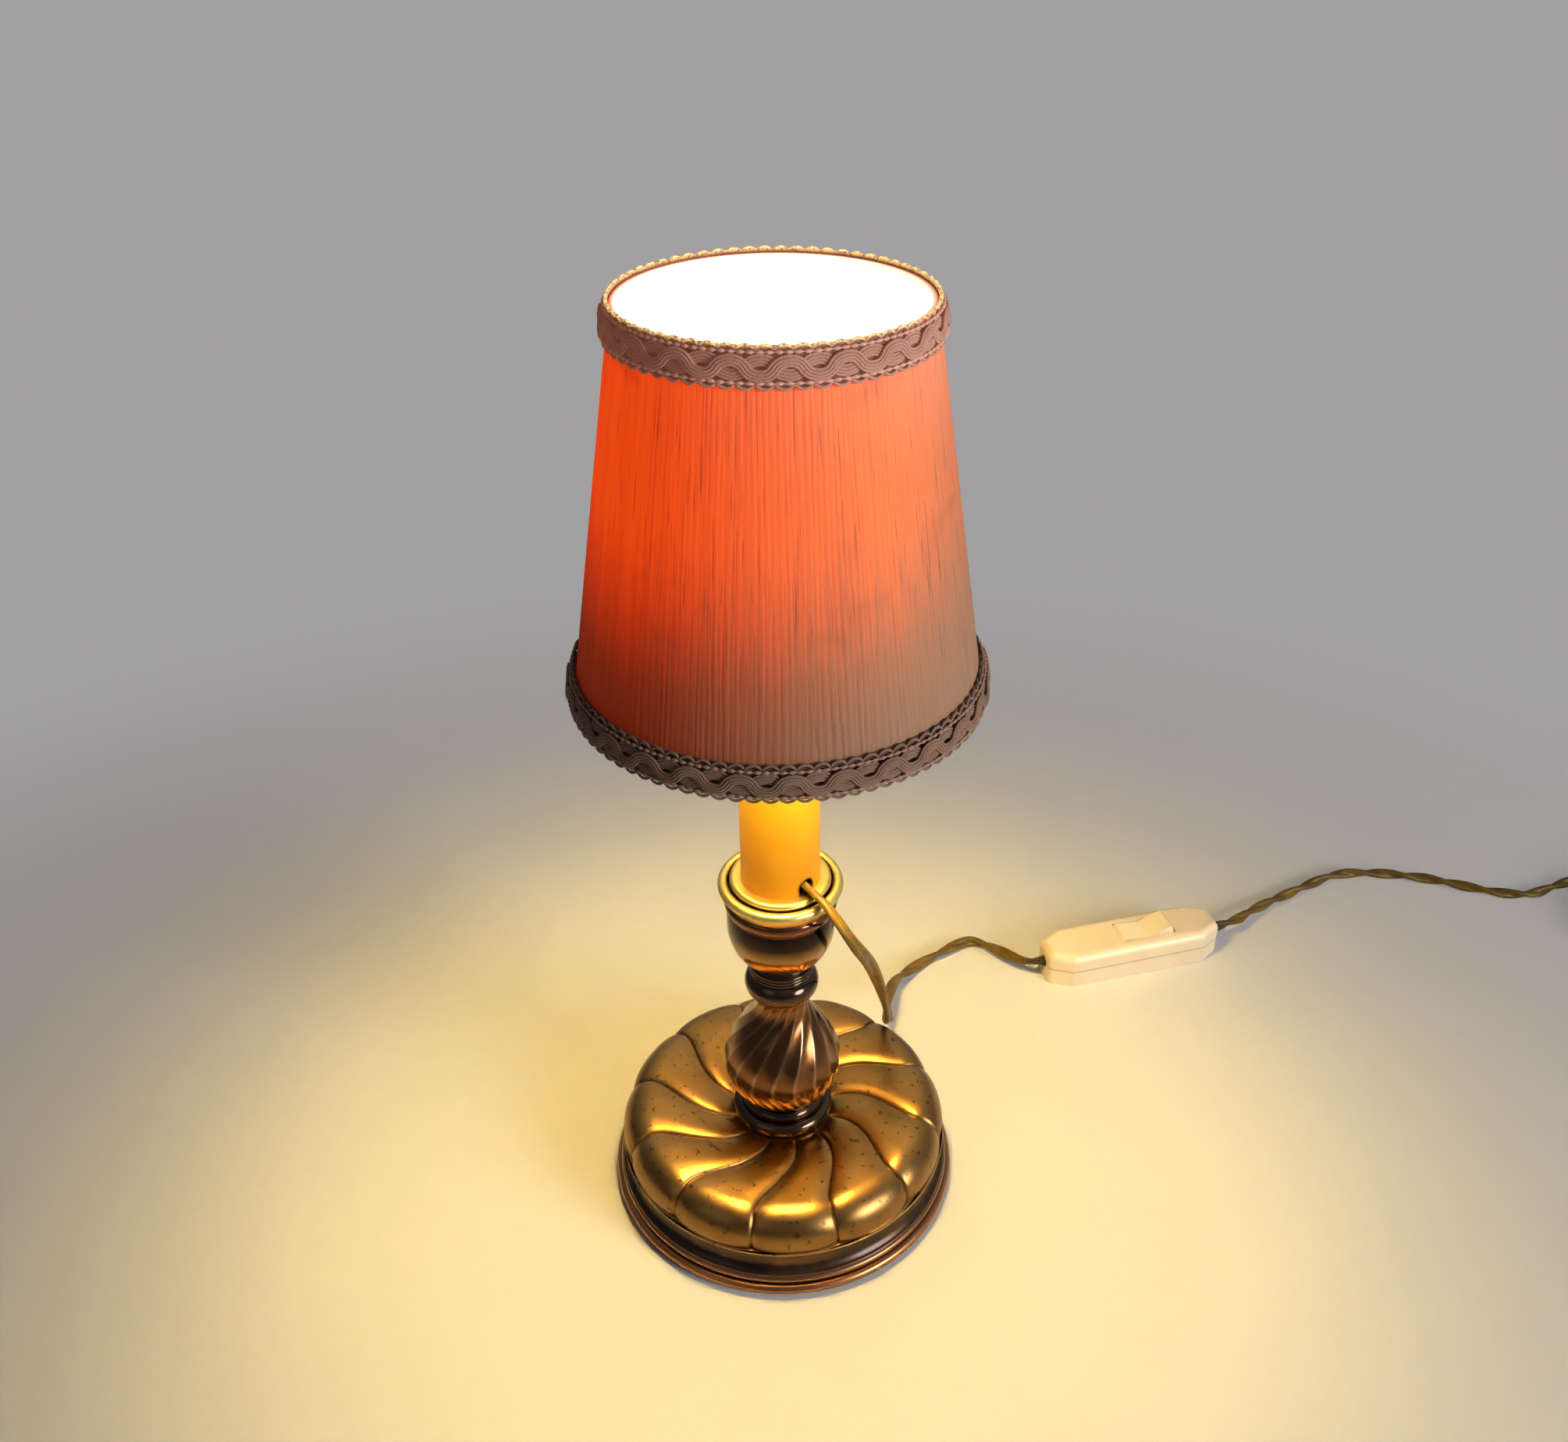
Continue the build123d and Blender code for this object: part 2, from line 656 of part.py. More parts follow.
# Bulb: a frosted globe on a small screw cap.
insulator_top = cap_bottom + INSULATOR_LENGTH
cap_bore = CAP_RADIUS - CAP_WALL
parts["bulb_contact"] = drum(TIP_RADIUS, tip_bottom, cap_bottom)
parts["cap_insulator"] = turned(
    lines(
        (0, cap_bottom),
        (TIP_RADIUS, cap_bottom),
        (cap_bore, insulator_top),
        (0, insulator_top),
        (0, cap_bottom),
    )
)
parts["bulb_cap"] = ring_disc(CAP_RADIUS, cap_bore, insulator_top, cap_top)


def bulb_form(inset):
    """The bulb's outside, or its inside at the glass thickness."""
    neck = cap_bore - SEAT_GAP - inset
    globe = GLOBE_RADIUS - inset
    join = (globe / 2, globe_centre - globe * sqrt(3) / 2)
    base = insulator_top + inset
    waist = (neck + 0.36 * (join[0] - neck), cap_top + 0.55 * (join[1] - cap_top))
    return turned(
        lines((0, globe_centre + globe), (0, base), (neck, base), (neck, cap_top)),
        bow((neck, cap_top), waist, join),
        bow(join, (globe, globe_centre), (0, globe_centre + globe)),
    )


parts["bulb_glass"] = bulb_form(0) - bulb_form(GLASS_WALL)
stem_bottom = insulator_top + GLASS_WALL
stem_top = globe_centre - GLOBE_RADIUS / 2
stem_radius = (cap_bore - GLASS_WALL) / 2
filament_end = at(FILAMENT_SPAN / 2, globe_centre)
filament_start = at(-FILAMENT_SPAN / 2, globe_centre)
stem_tip = at(0, stem_top - FILAMENT_WIRE)
filament = drum(stem_radius, stem_bottom, stem_top)
filament += rod_between(stem_tip, filament_start, FILAMENT_WIRE)
filament += rod_between(stem_tip, filament_end, FILAMENT_WIRE)
filament += wire_along(
    ThreePointArc(filament_start, at(0, globe_centre + FILAMENT_SPAN / 4), filament_end), FILAMENT_WIRE
)
parts["bulb_filament"] = filament

# Bulb clip: two wire loops on the upper half of the globe, a saddle and the ear of the tilt rivet.
clip_reach = GLOBE_RADIUS + SLIDE_GAP + CLIP_WIRE
loop_radius = clip_reach * sin(radians(CLIP_LOOP_ANGLE))
loop_distance = clip_reach * cos(radians(CLIP_LOOP_ANGLE))
loop = Pos(0, 0, loop_distance) * Torus(loop_radius, CLIP_WIRE)
globe_place = Pos(0, 0, globe_centre)
loop_lean = 90 - CLIP_LOOP_TILT
saddle_bottom = globe_centre + GLOBE_RADIUS + SLIDE_GAP
saddle_top = saddle_bottom + SADDLE_THICKNESS
saddle = Pos(0, 0, (saddle_bottom + saddle_top) / 2) * Box(
    SADDLE_LENGTH, SADDLE_WIDTH, SADDLE_THICKNESS
)


def cross_disc(radius, start, length, height):
    """A disc whose axis runs along X, from start."""
    return Pos(start, 0, height) * Rot(0, 90, 0) * extrude(Circle(radius), length)


ear = cross_disc(EAR_RADIUS, -EAR_THICKNESS / 2, EAR_THICKNESS, rivet_height)
ear += Pos(0, 0, (saddle_top + rivet_height) / 2) * Box(
    EAR_THICKNESS, 2 * EAR_RADIUS, rivet_height - saddle_top
)
clip = globe_place * (Rot(0, loop_lean, 0) * loop + Rot(0, -loop_lean, 0) * loop) + saddle + ear
rivet_hole = cross_disc(RIVET_RADIUS + PIN_GAP, -SADDLE_LENGTH, 2 * SADDLE_LENGTH, rivet_height)
parts["bulb_clip"] = clip - rivet_hole

# Shade carrier: a fork on the rivet and three wire arms up to the top ring.
slope = (SHADE_BOTTOM_RADIUS - SHADE_TOP_RADIUS) / SHADE_HEIGHT
stretch = hypot(1, slope)


def cover_radius(height):
    return SHADE_BOTTOM_RADIUS - slope * (height - shade_bottom)


def frame_radius(height):
    """The middle of a frame wire that lies just inside the cover."""
    return cover_radius(height) - (COVER_THICKNESS + SEAT_GAP + FRAME_WIRE) * stretch


top_ring_height = shade_top - 2 * FRAME_WIRE
bottom_ring_height = shade_bottom + 2 * FRAME_WIRE
top_ring = Pos(0, 0, top_ring_height) * Torus(frame_radius(top_ring_height), FRAME_WIRE)
bottom_ring = Pos(0, 0, bottom_ring_height) * Torus(frame_radius(bottom_ring_height), FRAME_WIRE)
parts["shade_top_ring"] = top_ring
parts["shade_bottom_ring"] = bottom_ring
fork_inside = EAR_THICKNESS / 2 + SLIDE_GAP
fork_outside = fork_inside + EAR_THICKNESS
bridge_bottom = rivet_height + EAR_RADIUS + 2 * SLIDE_GAP
bridge_top = bridge_bottom + BRIDGE_THICKNESS
carrier = Pos(0, 0, (bridge_bottom + bridge_top) / 2) * Box(
    2 * fork_outside, 2 * EAR_RADIUS, BRIDGE_THICKNESS
)
for start in (-fork_outside, fork_inside):
    cheek = cross_disc(EAR_RADIUS, start, EAR_THICKNESS, rivet_height)
    cheek += Pos(start + EAR_THICKNESS / 2, 0, (rivet_height + bridge_bottom) / 2) * Box(
        EAR_THICKNESS, 2 * EAR_RADIUS, bridge_bottom - rivet_height
    )
    carrier += cheek
rivet_room = RIVET_RADIUS + SEAT_GAP
carrier -= cross_disc(rivet_room, -SADDLE_LENGTH, 2 * SADDLE_LENGTH, rivet_height)
arm_end = frame_radius(top_ring_height)
for arm in range(ARMS):
    angle = 90 + arm * 360 / ARMS
    arm_path = FilletPolyline(
        Vector(0, 0, bridge_top),
        on_circle(arm_end - ARM_KNEE, angle, top_ring_height),
        on_circle(arm_end, angle, top_ring_height),
        radius=3 * ARM_WIRE,
    )
    carrier += wire_along(arm_path, ARM_WIRE)
parts["shade_carrier"] = carrier - top_ring
rivet = cross_disc(RIVET_RADIUS, -fork_outside, 2 * fork_outside, rivet_height)
for start in (-fork_outside - EAR_THICKNESS, fork_outside):
    rivet += cross_disc(RIVET_HEAD, start, EAR_THICKNESS, rivet_height)
parts["tilt_rivet"] = rivet

# Shade frame struts, lining, cover and trims.
struts = []
for strut in range(STRUTS):
    angle = 30 + strut * 360 / STRUTS
    bar = rod_between(
        on_circle(frame_radius(bottom_ring_height), angle, bottom_ring_height),
        on_circle(frame_radius(top_ring_height), angle, top_ring_height),
        STRUT_WIRE,
    )
    struts.append(bar - top_ring - bottom_ring)
parts["shade_struts"] = Compound(struts)


def cone_shell(bottom, top, inset, thickness):
    """A conical band, inset inside the cover's outer face; a negative inset stands outside it."""
    outer = inset * stretch
    inner = (inset + thickness) * stretch
    return turned(
        lines(
            (cover_radius(bottom) - inner, bottom),
            (cover_radius(bottom) - outer, bottom),
            (cover_radius(top) - outer, top),
            (cover_radius(top) - inner, top),
            (cover_radius(bottom) - inner, bottom),
        )
    )


parts["shade_cover"] = cone_shell(shade_bottom, shade_top, 0, COVER_THICKNESS)
lining_inset = COVER_THICKNESS + 2 * FRAME_WIRE + 2 * SEAT_GAP
lining_top = top_ring_height - ARM_WIRE - SLIDE_GAP
parts["shade_lining"] = cone_shell(shade_bottom, lining_top, lining_inset, LINING_THICKNESS)


def trim_band(bottom, top, thickness):
    band = cone_shell(bottom, top, -SEAT_GAP - thickness, thickness)
    rims = band.edges().filter_by(GeomType.CIRCLE).sort_by(SortBy.RADIUS)
    return fillet(rims, thickness / 3)


trim_bottom = shade_bottom - TRIM_OVERHANG
trim_top = shade_top + TRIM_OVERHANG
parts["bottom_trim"] = trim_band(trim_bottom, trim_bottom + BOTTOM_TRIM_HEIGHT, BOTTOM_TRIM_THICKNESS)
parts["top_trim"] = trim_band(trim_top - TOP_TRIM_HEIGHT, trim_top, TOP_TRIM_THICKNESS)

# In-line switch: two halves, split along the lead, with a rocker on a cross pin.
switch_place = Pos(*SWITCH_CENTRE, 0) * Rot(0, 0, SWITCH_ANGLE)
half_length = SWITCH_LENGTH / 2
half_width = SWITCH_WIDTH / 2


def case_plan(inset):
    """The switch's outline from above, tapered towards both ends."""
    far = half_length - inset
    wide = half_width - inset
    narrow = SWITCH_END_WIDTH / 2 - inset
    shoulder = half_length - SWITCH_TAPER - inset / 2
    outline = Polygon(
        (far, -narrow),
        (far, narrow),
        (shoulder, wide),
        (-shoulder, wide),
        (-far, narrow),
        (-far, -narrow),
        (-shoulder, -wide),
        (shoulder, -wide),
        align=None,
    )
    return fillet(outline.vertices(), SWITCH_CORNER - inset)


def slab(plan, bottom, top):
    return Pos(0, 0, bottom) * extrude(plan, top - bottom)


mouth = Pos(-SWITCH_LENGTH, 0, SWITCH_SPLIT) * Rot(0, 90, 0) * extrude(
    Circle(cord_radius + SEAT_GAP), 2 * SWITCH_LENGTH
)
bosses = [Pos(side * BOSS_SPACING / 2, 0, 0) for side in (-1, 1)]
roof = SWITCH_HEIGHT - SWITCH_WALL
mouth_ends = mouth - Box(SWITCH_LENGTH - 4 * SWITCH_WALL, SWITCH_WIDTH, 4 * SWITCH_HEIGHT)
base = slab(case_plan(0), 0, SWITCH_SPLIT) - slab(case_plan(SWITCH_WALL), SWITCH_WALL, SWITCH_SPLIT)
cover = slab(case_plan(0), SWITCH_SPLIT, SWITCH_HEIGHT)
cover = fillet(cover.faces().sort_by(Axis.Z)[-1].edges(), SWITCH_EDGE)
cover -= slab(case_plan(SWITCH_WALL), SWITCH_SPLIT, roof)
head_room = drum(CASE_SCREW_HEAD + SEAT_GAP, 0, CASE_SCREW_SINK + SWITCH_WALL / 2)
shank_room = drum(CASE_SCREW_RADIUS + SEAT_GAP, 0, CASE_SCREW_SINK + CASE_SCREW_LENGTH + SEAT_GAP)
for place in bosses:
    base += place * drum(BOSS_RADIUS, 0, SWITCH_SPLIT)
    base -= place * (head_room + shank_room)
    cover += place * drum(BOSS_RADIUS, SWITCH_SPLIT, roof)
    cover -= place * shank_room
window = Pos(ROCKER_OFFSET, 0, SWITCH_HEIGHT) * Box(
    ROCKER_LENGTH + 2 * WINDOW_GAP, ROCKER_WIDTH + 2 * WINDOW_GAP, 4 * SWITCH_WALL
)
cover -= window
lug_inside = ROCKER_WIDTH / 2 + WINDOW_GAP
lug_bottom = ROCKER_PIVOT_HEIGHT - LUG_DROP
for side in (-1, 1):
    cover += Pos(ROCKER_OFFSET, side * (lug_inside + LUG_WIDTH / 2), (lug_bottom + roof) / 2) * Box(
        LUG_LENGTH, LUG_WIDTH, roof - lug_bottom
    )


def cross_pin(radius, length):
    """A pin across the switch, on the rocker's axis."""
    middle = Pos(ROCKER_OFFSET, length / 2, ROCKER_PIVOT_HEIGHT)
    return middle * Rot(90, 0, 0) * extrude(Circle(radius), length)


pin_length = 2 * (lug_inside + LUG_WIDTH - SLIDE_GAP)
cover -= cross_pin(ROCKER_PIN + SEAT_GAP, pin_length)
parts["switch_base"] = switch_place * (base - mouth_ends)
parts["switch_cover"] = switch_place * (cover - mouth_ends)
parts["rocker_pin"] = switch_place * cross_pin(ROCKER_PIN, pin_length)
end = ROCKER_LENGTH / 2
brow = end - ROCKER_DRAFT
chin = ROCKER_DIP / 3
rocker_side = Polyline(
    (-end, chin),
    (-brow, ROCKER_RISE - chin),
    (chin - brow, ROCKER_RISE),
    (0, ROCKER_DIP),
    (brow - chin, ROCKER_RISE),
    (brow, ROCKER_RISE - chin),
    (end, chin),
    (end / 2, -ROCKER_BELLY),
    (-end / 2, -ROCKER_BELLY),
    (-end, chin),
)
rocker_plane = Plane(origin=(0, ROCKER_WIDTH / 2, 0), x_dir=(1, 0, 0), z_dir=(0, -1, 0))
rocker_form = extrude(rocker_plane * make_face(rocker_side.edges()), ROCKER_WIDTH)
rocker_rest = Pos(ROCKER_OFFSET, 0, ROCKER_PIVOT_HEIGHT) * Rot(0, -ROCKER_TILT, 0)
rocker = rocker_rest * rocker_form - cross_pin(ROCKER_PIN + PIN_GAP, SWITCH_WIDTH)
parts["switch_rocker"] = switch_place * rocker
bridge_strip = Pos(0, 0, -ROCKER_BELLY - BRIDGE_STRIP / 2) * Box(end, ROCKER_WIDTH / 2, BRIDGE_STRIP)
parts["contact_bridge"] = switch_place * rocker_rest * bridge_strip
case_screw = Pos(0, 0, CASE_SCREW_SINK) * (
    drum(CASE_SCREW_RADIUS, 0, CASE_SCREW_LENGTH) + drum(CASE_SCREW_HEAD, 0, SWITCH_WALL / 2)
)
parts["case_screws"] = switch_place * Compound([place * case_screw for place in bosses])
block_height = TERMINAL_BLOCK[2]
blocks = []
block_screws = []
for side in (-1, 1):
    place = Pos(ROCKER_OFFSET + side * BLOCK_SPACING / 2, BLOCK_SIDE, SWITCH_WALL)
    blocks.append(place * Pos(0, 0, block_height / 2) * Box(*TERMINAL_BLOCK))
    block_screws.append(place * drum(BLOCK_SCREW_RADIUS, block_height, block_height + BLOCK_SCREW_HEIGHT))
parts["switch_terminals"] = switch_place * Compound(blocks)
parts["switch_terminal_screws"] = switch_place * Compound(block_screws)

# The lead from the sleeve to the switch, as it falls beside the lamp and lies on the table.
mouth_depth = 2 * SWITCH_WALL
mouth_reach = half_length - mouth_depth
lamp_side = switch_place * Pos(-mouth_reach, 0, SWITCH_SPLIT)
mains_side = switch_place * Pos(mouth_reach, 0, SWITCH_SPLIT)
lamp_out = switch_place * Pos(-half_length - LEAD_OUT, 0, SWITCH_SPLIT)
mains_out = switch_place * Pos(half_length + LEAD_OUT, 0, SWITCH_SPLIT)
lie = cord_radius + LIE_GAP
coil_outer = COIL_INNER + COIL_PITCH * COIL_TURNS_IN
coil_floor = TIE_THICKNESS + TIE_GAP + cord_radius
coil_start = Vector(COIL_CENTRE[0], COIL_CENTRE[1] + coil_outer, coil_floor)
coil_way = Vector(CORD, 0, 0)
LAMP_ROUTE = [
    (13.2, -15.7, 132.9),
    (19.0, -20.9, 129.8),
    (24.0, -21.5, 122.5),
    (27.5, -16.5, 112.5),
    (29.5, -7.0, 100.5),
    (31.5, 4.5, 85.5),
    (34.5, 16.5, 68.5),
    (37.5, 28.5, 49.5),
    (41.5, 42.5, 30.5),
    (44.0, 59.0, 16.0),
    (48.5, 76.0, 6.2),
    (56.0, 91.5, lie),
    (65.0, 102.0, lie),
    (73.5, 106.5, lie),
    (82.0, 105.0, 3.2),
]
MAINS_ROUTE = [
    (206.5, 129.5, 4.0),
    (226.5, 146.5, lie),
    (247.0, 155.0, lie),
    (266.5, 153.5, lie),
    (283.0, 148.5, lie),
    (298.5, 141.5, lie),
    (314.5, 136.5, lie),
    (333.0, 137.5, lie),
    (351.5, 143.0, lie),
]


def lead(name, route):
    """A tube along straight runs, with each corner as round as its shorter run allows."""
    points = [Vector(point) for point in route]
    radii = []
    for before, corner, after in zip(points, points[1:], points[2:]):
        turn = radians((corner - before).get_angle(after - corner))
        shorter = min((corner - before).length, (after - corner).length)
        radii.append(0.45 * shorter / tan(turn / 2))
    path = FilletPolyline(*points, radius=radii)
    tube = wire_along(path, cord_radius)
    expected = pi * cord_radius**2 * path.length
    print(name, "radii", [round(radius, 1) for radius in radii])
    print(name, "length %.1f, volume share %.4f" % (path.length, tube.volume / expected))
    return tube, path.length


lamp_route = [lead_start, *LAMP_ROUTE, lamp_out.position, lamp_side.position]
coil_entry = [coil_start - 4 * coil_way, coil_start - coil_way]
mains_route = [mains_side.position, mains_out.position, *MAINS_ROUTE, *coil_entry]
parts["lamp_lead"], lamp_length = lead("lamp_lead", lamp_route)
parts["mains_lead"], mains_length = lead("mains_lead", mains_route)

# The coil: it winds clockwise inwards on the lower layer, climbs in half a turn, and winds out again.
climb_end = COIL_TURNS_IN + 0.5
coil_turns = climb_end + COIL_TURNS_OUT


def coil_point(turns):
    """A point of the coil's middle line, after a number of turns."""
    climb = min(max((turns - COIL_TURNS_IN) / 0.5, 0), 1)
    inward = min(turns, COIL_TURNS_IN)
    outward = max(turns - climb_end, 0)
    radius = coil_outer - COIL_PITCH * (inward - outward)
    height = coil_floor + COIL_LAYER * climb * climb * (3 - 2 * climb)
    spot = on_circle(radius, 90 - 360 * turns, height)
    return spot + Vector(*COIL_CENTRE, 0)


places = [quarter / 4 for quarter in range(round(4 * coil_turns) + 1)]
ways = [Vector(1, 0, 0), *[heading(coil_point, place) for place in places[1:-1]], Vector(0, -1, 0)]
coil_end = coil_point(coil_turns)
tail_end = coil_end - Vector(0, CORD, 0)
coil_path = Wire(
    [
        Edge.make_line(coil_start - coil_way, coil_start),
        *arcs_along(coil_point, places, ways),
        Edge.make_line(coil_end, tail_end),
    ]
)
coil = wire_along(coil_path, cord_radius)
parts["lead_coil"] = coil


def least_gap(per_turn):
    """The least distance between the surfaces of turns that lie beside each other."""
    count = round(per_turn * coil_turns)
    line = [coil_point(coil_turns * i / count) for i in range(count + 1)]
    apart = per_turn // 3
    nearest = min(
        (line[j] - line[i]).length for i in range(count + 1) for j in range(i + apart, count + 1)
    )
    return nearest - CORD


print("lead_coil length %.1f, least gap %.2f" % (coil_path.length, least_gap(48)))
print("lead_coil volume share %.4f" % (coil.volume / (pi * cord_radius**2 * coil_path.length)))
print("whole lead %.1f" % (lamp_length + mains_length + coil_path.length + 2 * mouth_reach))

# Tie: a flat band round the coil's turns.
tie_turns = [turns / 96 for turns in range(round(96 * coil_turns))]
near_tie = [
    coil_point(turns) - Vector(*COIL_CENTRE, 0)
    for turns in tie_turns
    if abs((90 - 360 * turns - TIE_ANGLE + 180) % 360 - 180) < 15
]
tie_inner = min(hypot(spot.X, spot.Y) for spot in near_tie) - cord_radius - 2 * TIE_GAP
tie_outer = max(hypot(spot.X, spot.Y) for spot in near_tie) + cord_radius + 2 * TIE_GAP
tie_roof = coil_floor + COIL_LAYER + cord_radius + TIE_GAP
tie_plane = Plane(
    origin=Vector(*COIL_CENTRE, 0),
    x_dir=on_circle(1, TIE_ANGLE, 0),
    z_dir=on_circle(1, TIE_ANGLE - 90, 0),
)
tie_hole = Pos((tie_inner + tie_outer) / 2, (TIE_THICKNESS + tie_roof) / 2) * Rectangle(
    tie_outer - tie_inner, tie_roof - TIE_THICKNESS
)
tie_band = Pos((tie_inner + tie_outer) / 2, (tie_roof + TIE_THICKNESS) / 2) * Rectangle(
    tie_outer - tie_inner + 2 * TIE_THICKNESS, tie_roof + TIE_THICKNESS
)
parts["coil_tie"] = extrude(tie_plane * (tie_band - tie_hole), TIE_WIDTH / 2, both=True)

# Plug: a flat two-pin body with a tapered strain relief, lying beside the coil.
relief_face = Plane(origin=tail_end, x_dir=(1, 0, 0), z_dir=(0, -1, 0))
relief_end = relief_face.offset(RELIEF_LENGTH)
parts["plug_relief"] = loft([relief_face * Circle(RELIEF_TIP), relief_end * Circle(RELIEF_ROOT)])
plug_back = Pos(tail_end.X, tail_end.Y - RELIEF_LENGTH, 0)
plug_plan = Polygon(
    (PLUG_BACK_WIDTH / 2, 0),
    (-PLUG_BACK_WIDTH / 2, 0),
    (-PLUG_WIDTH / 2, PLUG_SHOULDER - PLUG_LENGTH),
    (-PLUG_WIDTH / 2, -PLUG_LENGTH),
    (PLUG_WIDTH / 2, -PLUG_LENGTH),
    (PLUG_WIDTH / 2, PLUG_SHOULDER - PLUG_LENGTH),
    align=None,
)
plug = extrude(plug_plan, PLUG_THICKNESS)
plug = fillet(plug.edges().filter_by(Axis.Z), PLUG_EDGE)
pins = []
for side in (-1, 1):
    pin_place = Pos(side * PIN_SPACING / 2, PIN_SINK - PLUG_LENGTH, PLUG_THICKNESS / 2) * Rot(90, 0, 0)
    plug -= pin_place * extrude(Circle(PIN_RADIUS + SEAT_GAP / 2), PIN_SINK + PLUG_EDGE)
    pin = pin_place * extrude(Circle(PIN_RADIUS), PIN_SINK + PIN_LENGTH)
    pins.append(plug_back * pin)
parts["plug_body"] = plug_back * plug
parts["plug_pins"] = Compound(pins)

os.makedirs("parts", exist_ok=True)
for name, part in parts.items():
    export_step(part, "parts/" + name + ".step")
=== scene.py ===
import bmesh
import bpy
from bisect import bisect_right
from math import atan2, cos, exp, hypot, pi, radians, sin, sqrt
from mathutils import Matrix, Vector
from random import Random


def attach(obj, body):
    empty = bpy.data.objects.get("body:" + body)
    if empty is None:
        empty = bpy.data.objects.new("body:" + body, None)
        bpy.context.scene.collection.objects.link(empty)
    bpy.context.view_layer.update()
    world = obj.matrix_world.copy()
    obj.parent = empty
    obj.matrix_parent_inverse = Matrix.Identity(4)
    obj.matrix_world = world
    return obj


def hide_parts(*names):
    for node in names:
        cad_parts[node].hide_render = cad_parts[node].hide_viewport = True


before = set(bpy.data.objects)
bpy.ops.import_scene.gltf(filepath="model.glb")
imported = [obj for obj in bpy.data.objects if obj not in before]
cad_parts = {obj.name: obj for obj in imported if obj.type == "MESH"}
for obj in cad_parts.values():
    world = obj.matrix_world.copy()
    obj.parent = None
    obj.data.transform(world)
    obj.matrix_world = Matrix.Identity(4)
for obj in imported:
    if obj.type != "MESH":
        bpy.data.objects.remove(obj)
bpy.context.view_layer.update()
scene = bpy.context.scene
MM = 0.001


# Camera

PHOTO_WIDTH = 2009
FOCAL_PIXELS = 1850
SENSOR_WIDTH = 36
CAMERA_SPOT = (0, -0.3573, 0.4168)
CAMERA_PITCH, CAMERA_YAW, CAMERA_ROLL = 32.70, 0.26, -0.54


def photo_camera():
    pitch, yaw, roll = radians(CAMERA_PITCH), radians(CAMERA_YAW), radians(CAMERA_ROLL)
    ahead = Vector((sin(yaw) * cos(pitch), cos(yaw) * cos(pitch), -sin(pitch)))
    level = Vector((cos(yaw), -sin(yaw), 0))
    upright = level.cross(ahead)
    right = cos(roll) * level + sin(roll) * upright
    up = cos(roll) * upright - sin(roll) * level
    lens = bpy.data.cameras.new("photo_camera")
    lens.sensor_fit = "HORIZONTAL"
    lens.sensor_width = SENSOR_WIDTH
    lens.lens = SENSOR_WIDTH * FOCAL_PIXELS / PHOTO_WIDTH
    lens.clip_start = 0.01
    lens.clip_end = 60
    camera = bpy.data.objects.new("photo_camera", lens)
    scene.collection.objects.link(camera)
    turn = Matrix((right, up, -ahead)).transposed().to_4x4()
    camera.matrix_world = Matrix.Translation(CAMERA_SPOT) @ turn
    scene.camera = camera


photo_camera()
scene.view_settings.view_transform = "Standard"


# Places where the lead goes into the sleeve and the switch, in metres, and the colour of the light painted
# on inside the shade

SLEEVE_MOUTH = (8.03 * MM, -9.58 * MM, 132.65 * MM)
LAMP_SIDE_MOUTH = (109.2 * MM, 93.5 * MM, 7.5 * MM)
MAINS_SIDE_MOUTH = (183.81 * MM, 112.51 * MM, 7.5 * MM)
INSIDE_GLOW = (1.0, 0.86, 0.58)


# Shader values and finishes

class Value:
    """A shader socket that takes part in Python arithmetic."""

    def __init__(self, finish, socket):
        self.finish = finish
        self.socket = socket

    def maths(self, operation, *values):
        return self.finish.node("ShaderNodeMath", {"operation": operation}, dict(enumerate(values)))

    def __add__(self, other):
        return self.maths("ADD", self, other)

    def __sub__(self, other):
        return self.maths("SUBTRACT", self, other)

    def __rsub__(self, other):
        return self.maths("SUBTRACT", other, self)

    def __mul__(self, other):
        return self.maths("MULTIPLY", self, other)

    def __truediv__(self, other):
        return self.maths("DIVIDE", self, other)

    def __pow__(self, other):
        return self.maths("POWER", self, other)

    def __abs__(self):
        return self.maths("ABSOLUTE", self)

    __radd__ = __add__
    __rmul__ = __mul__


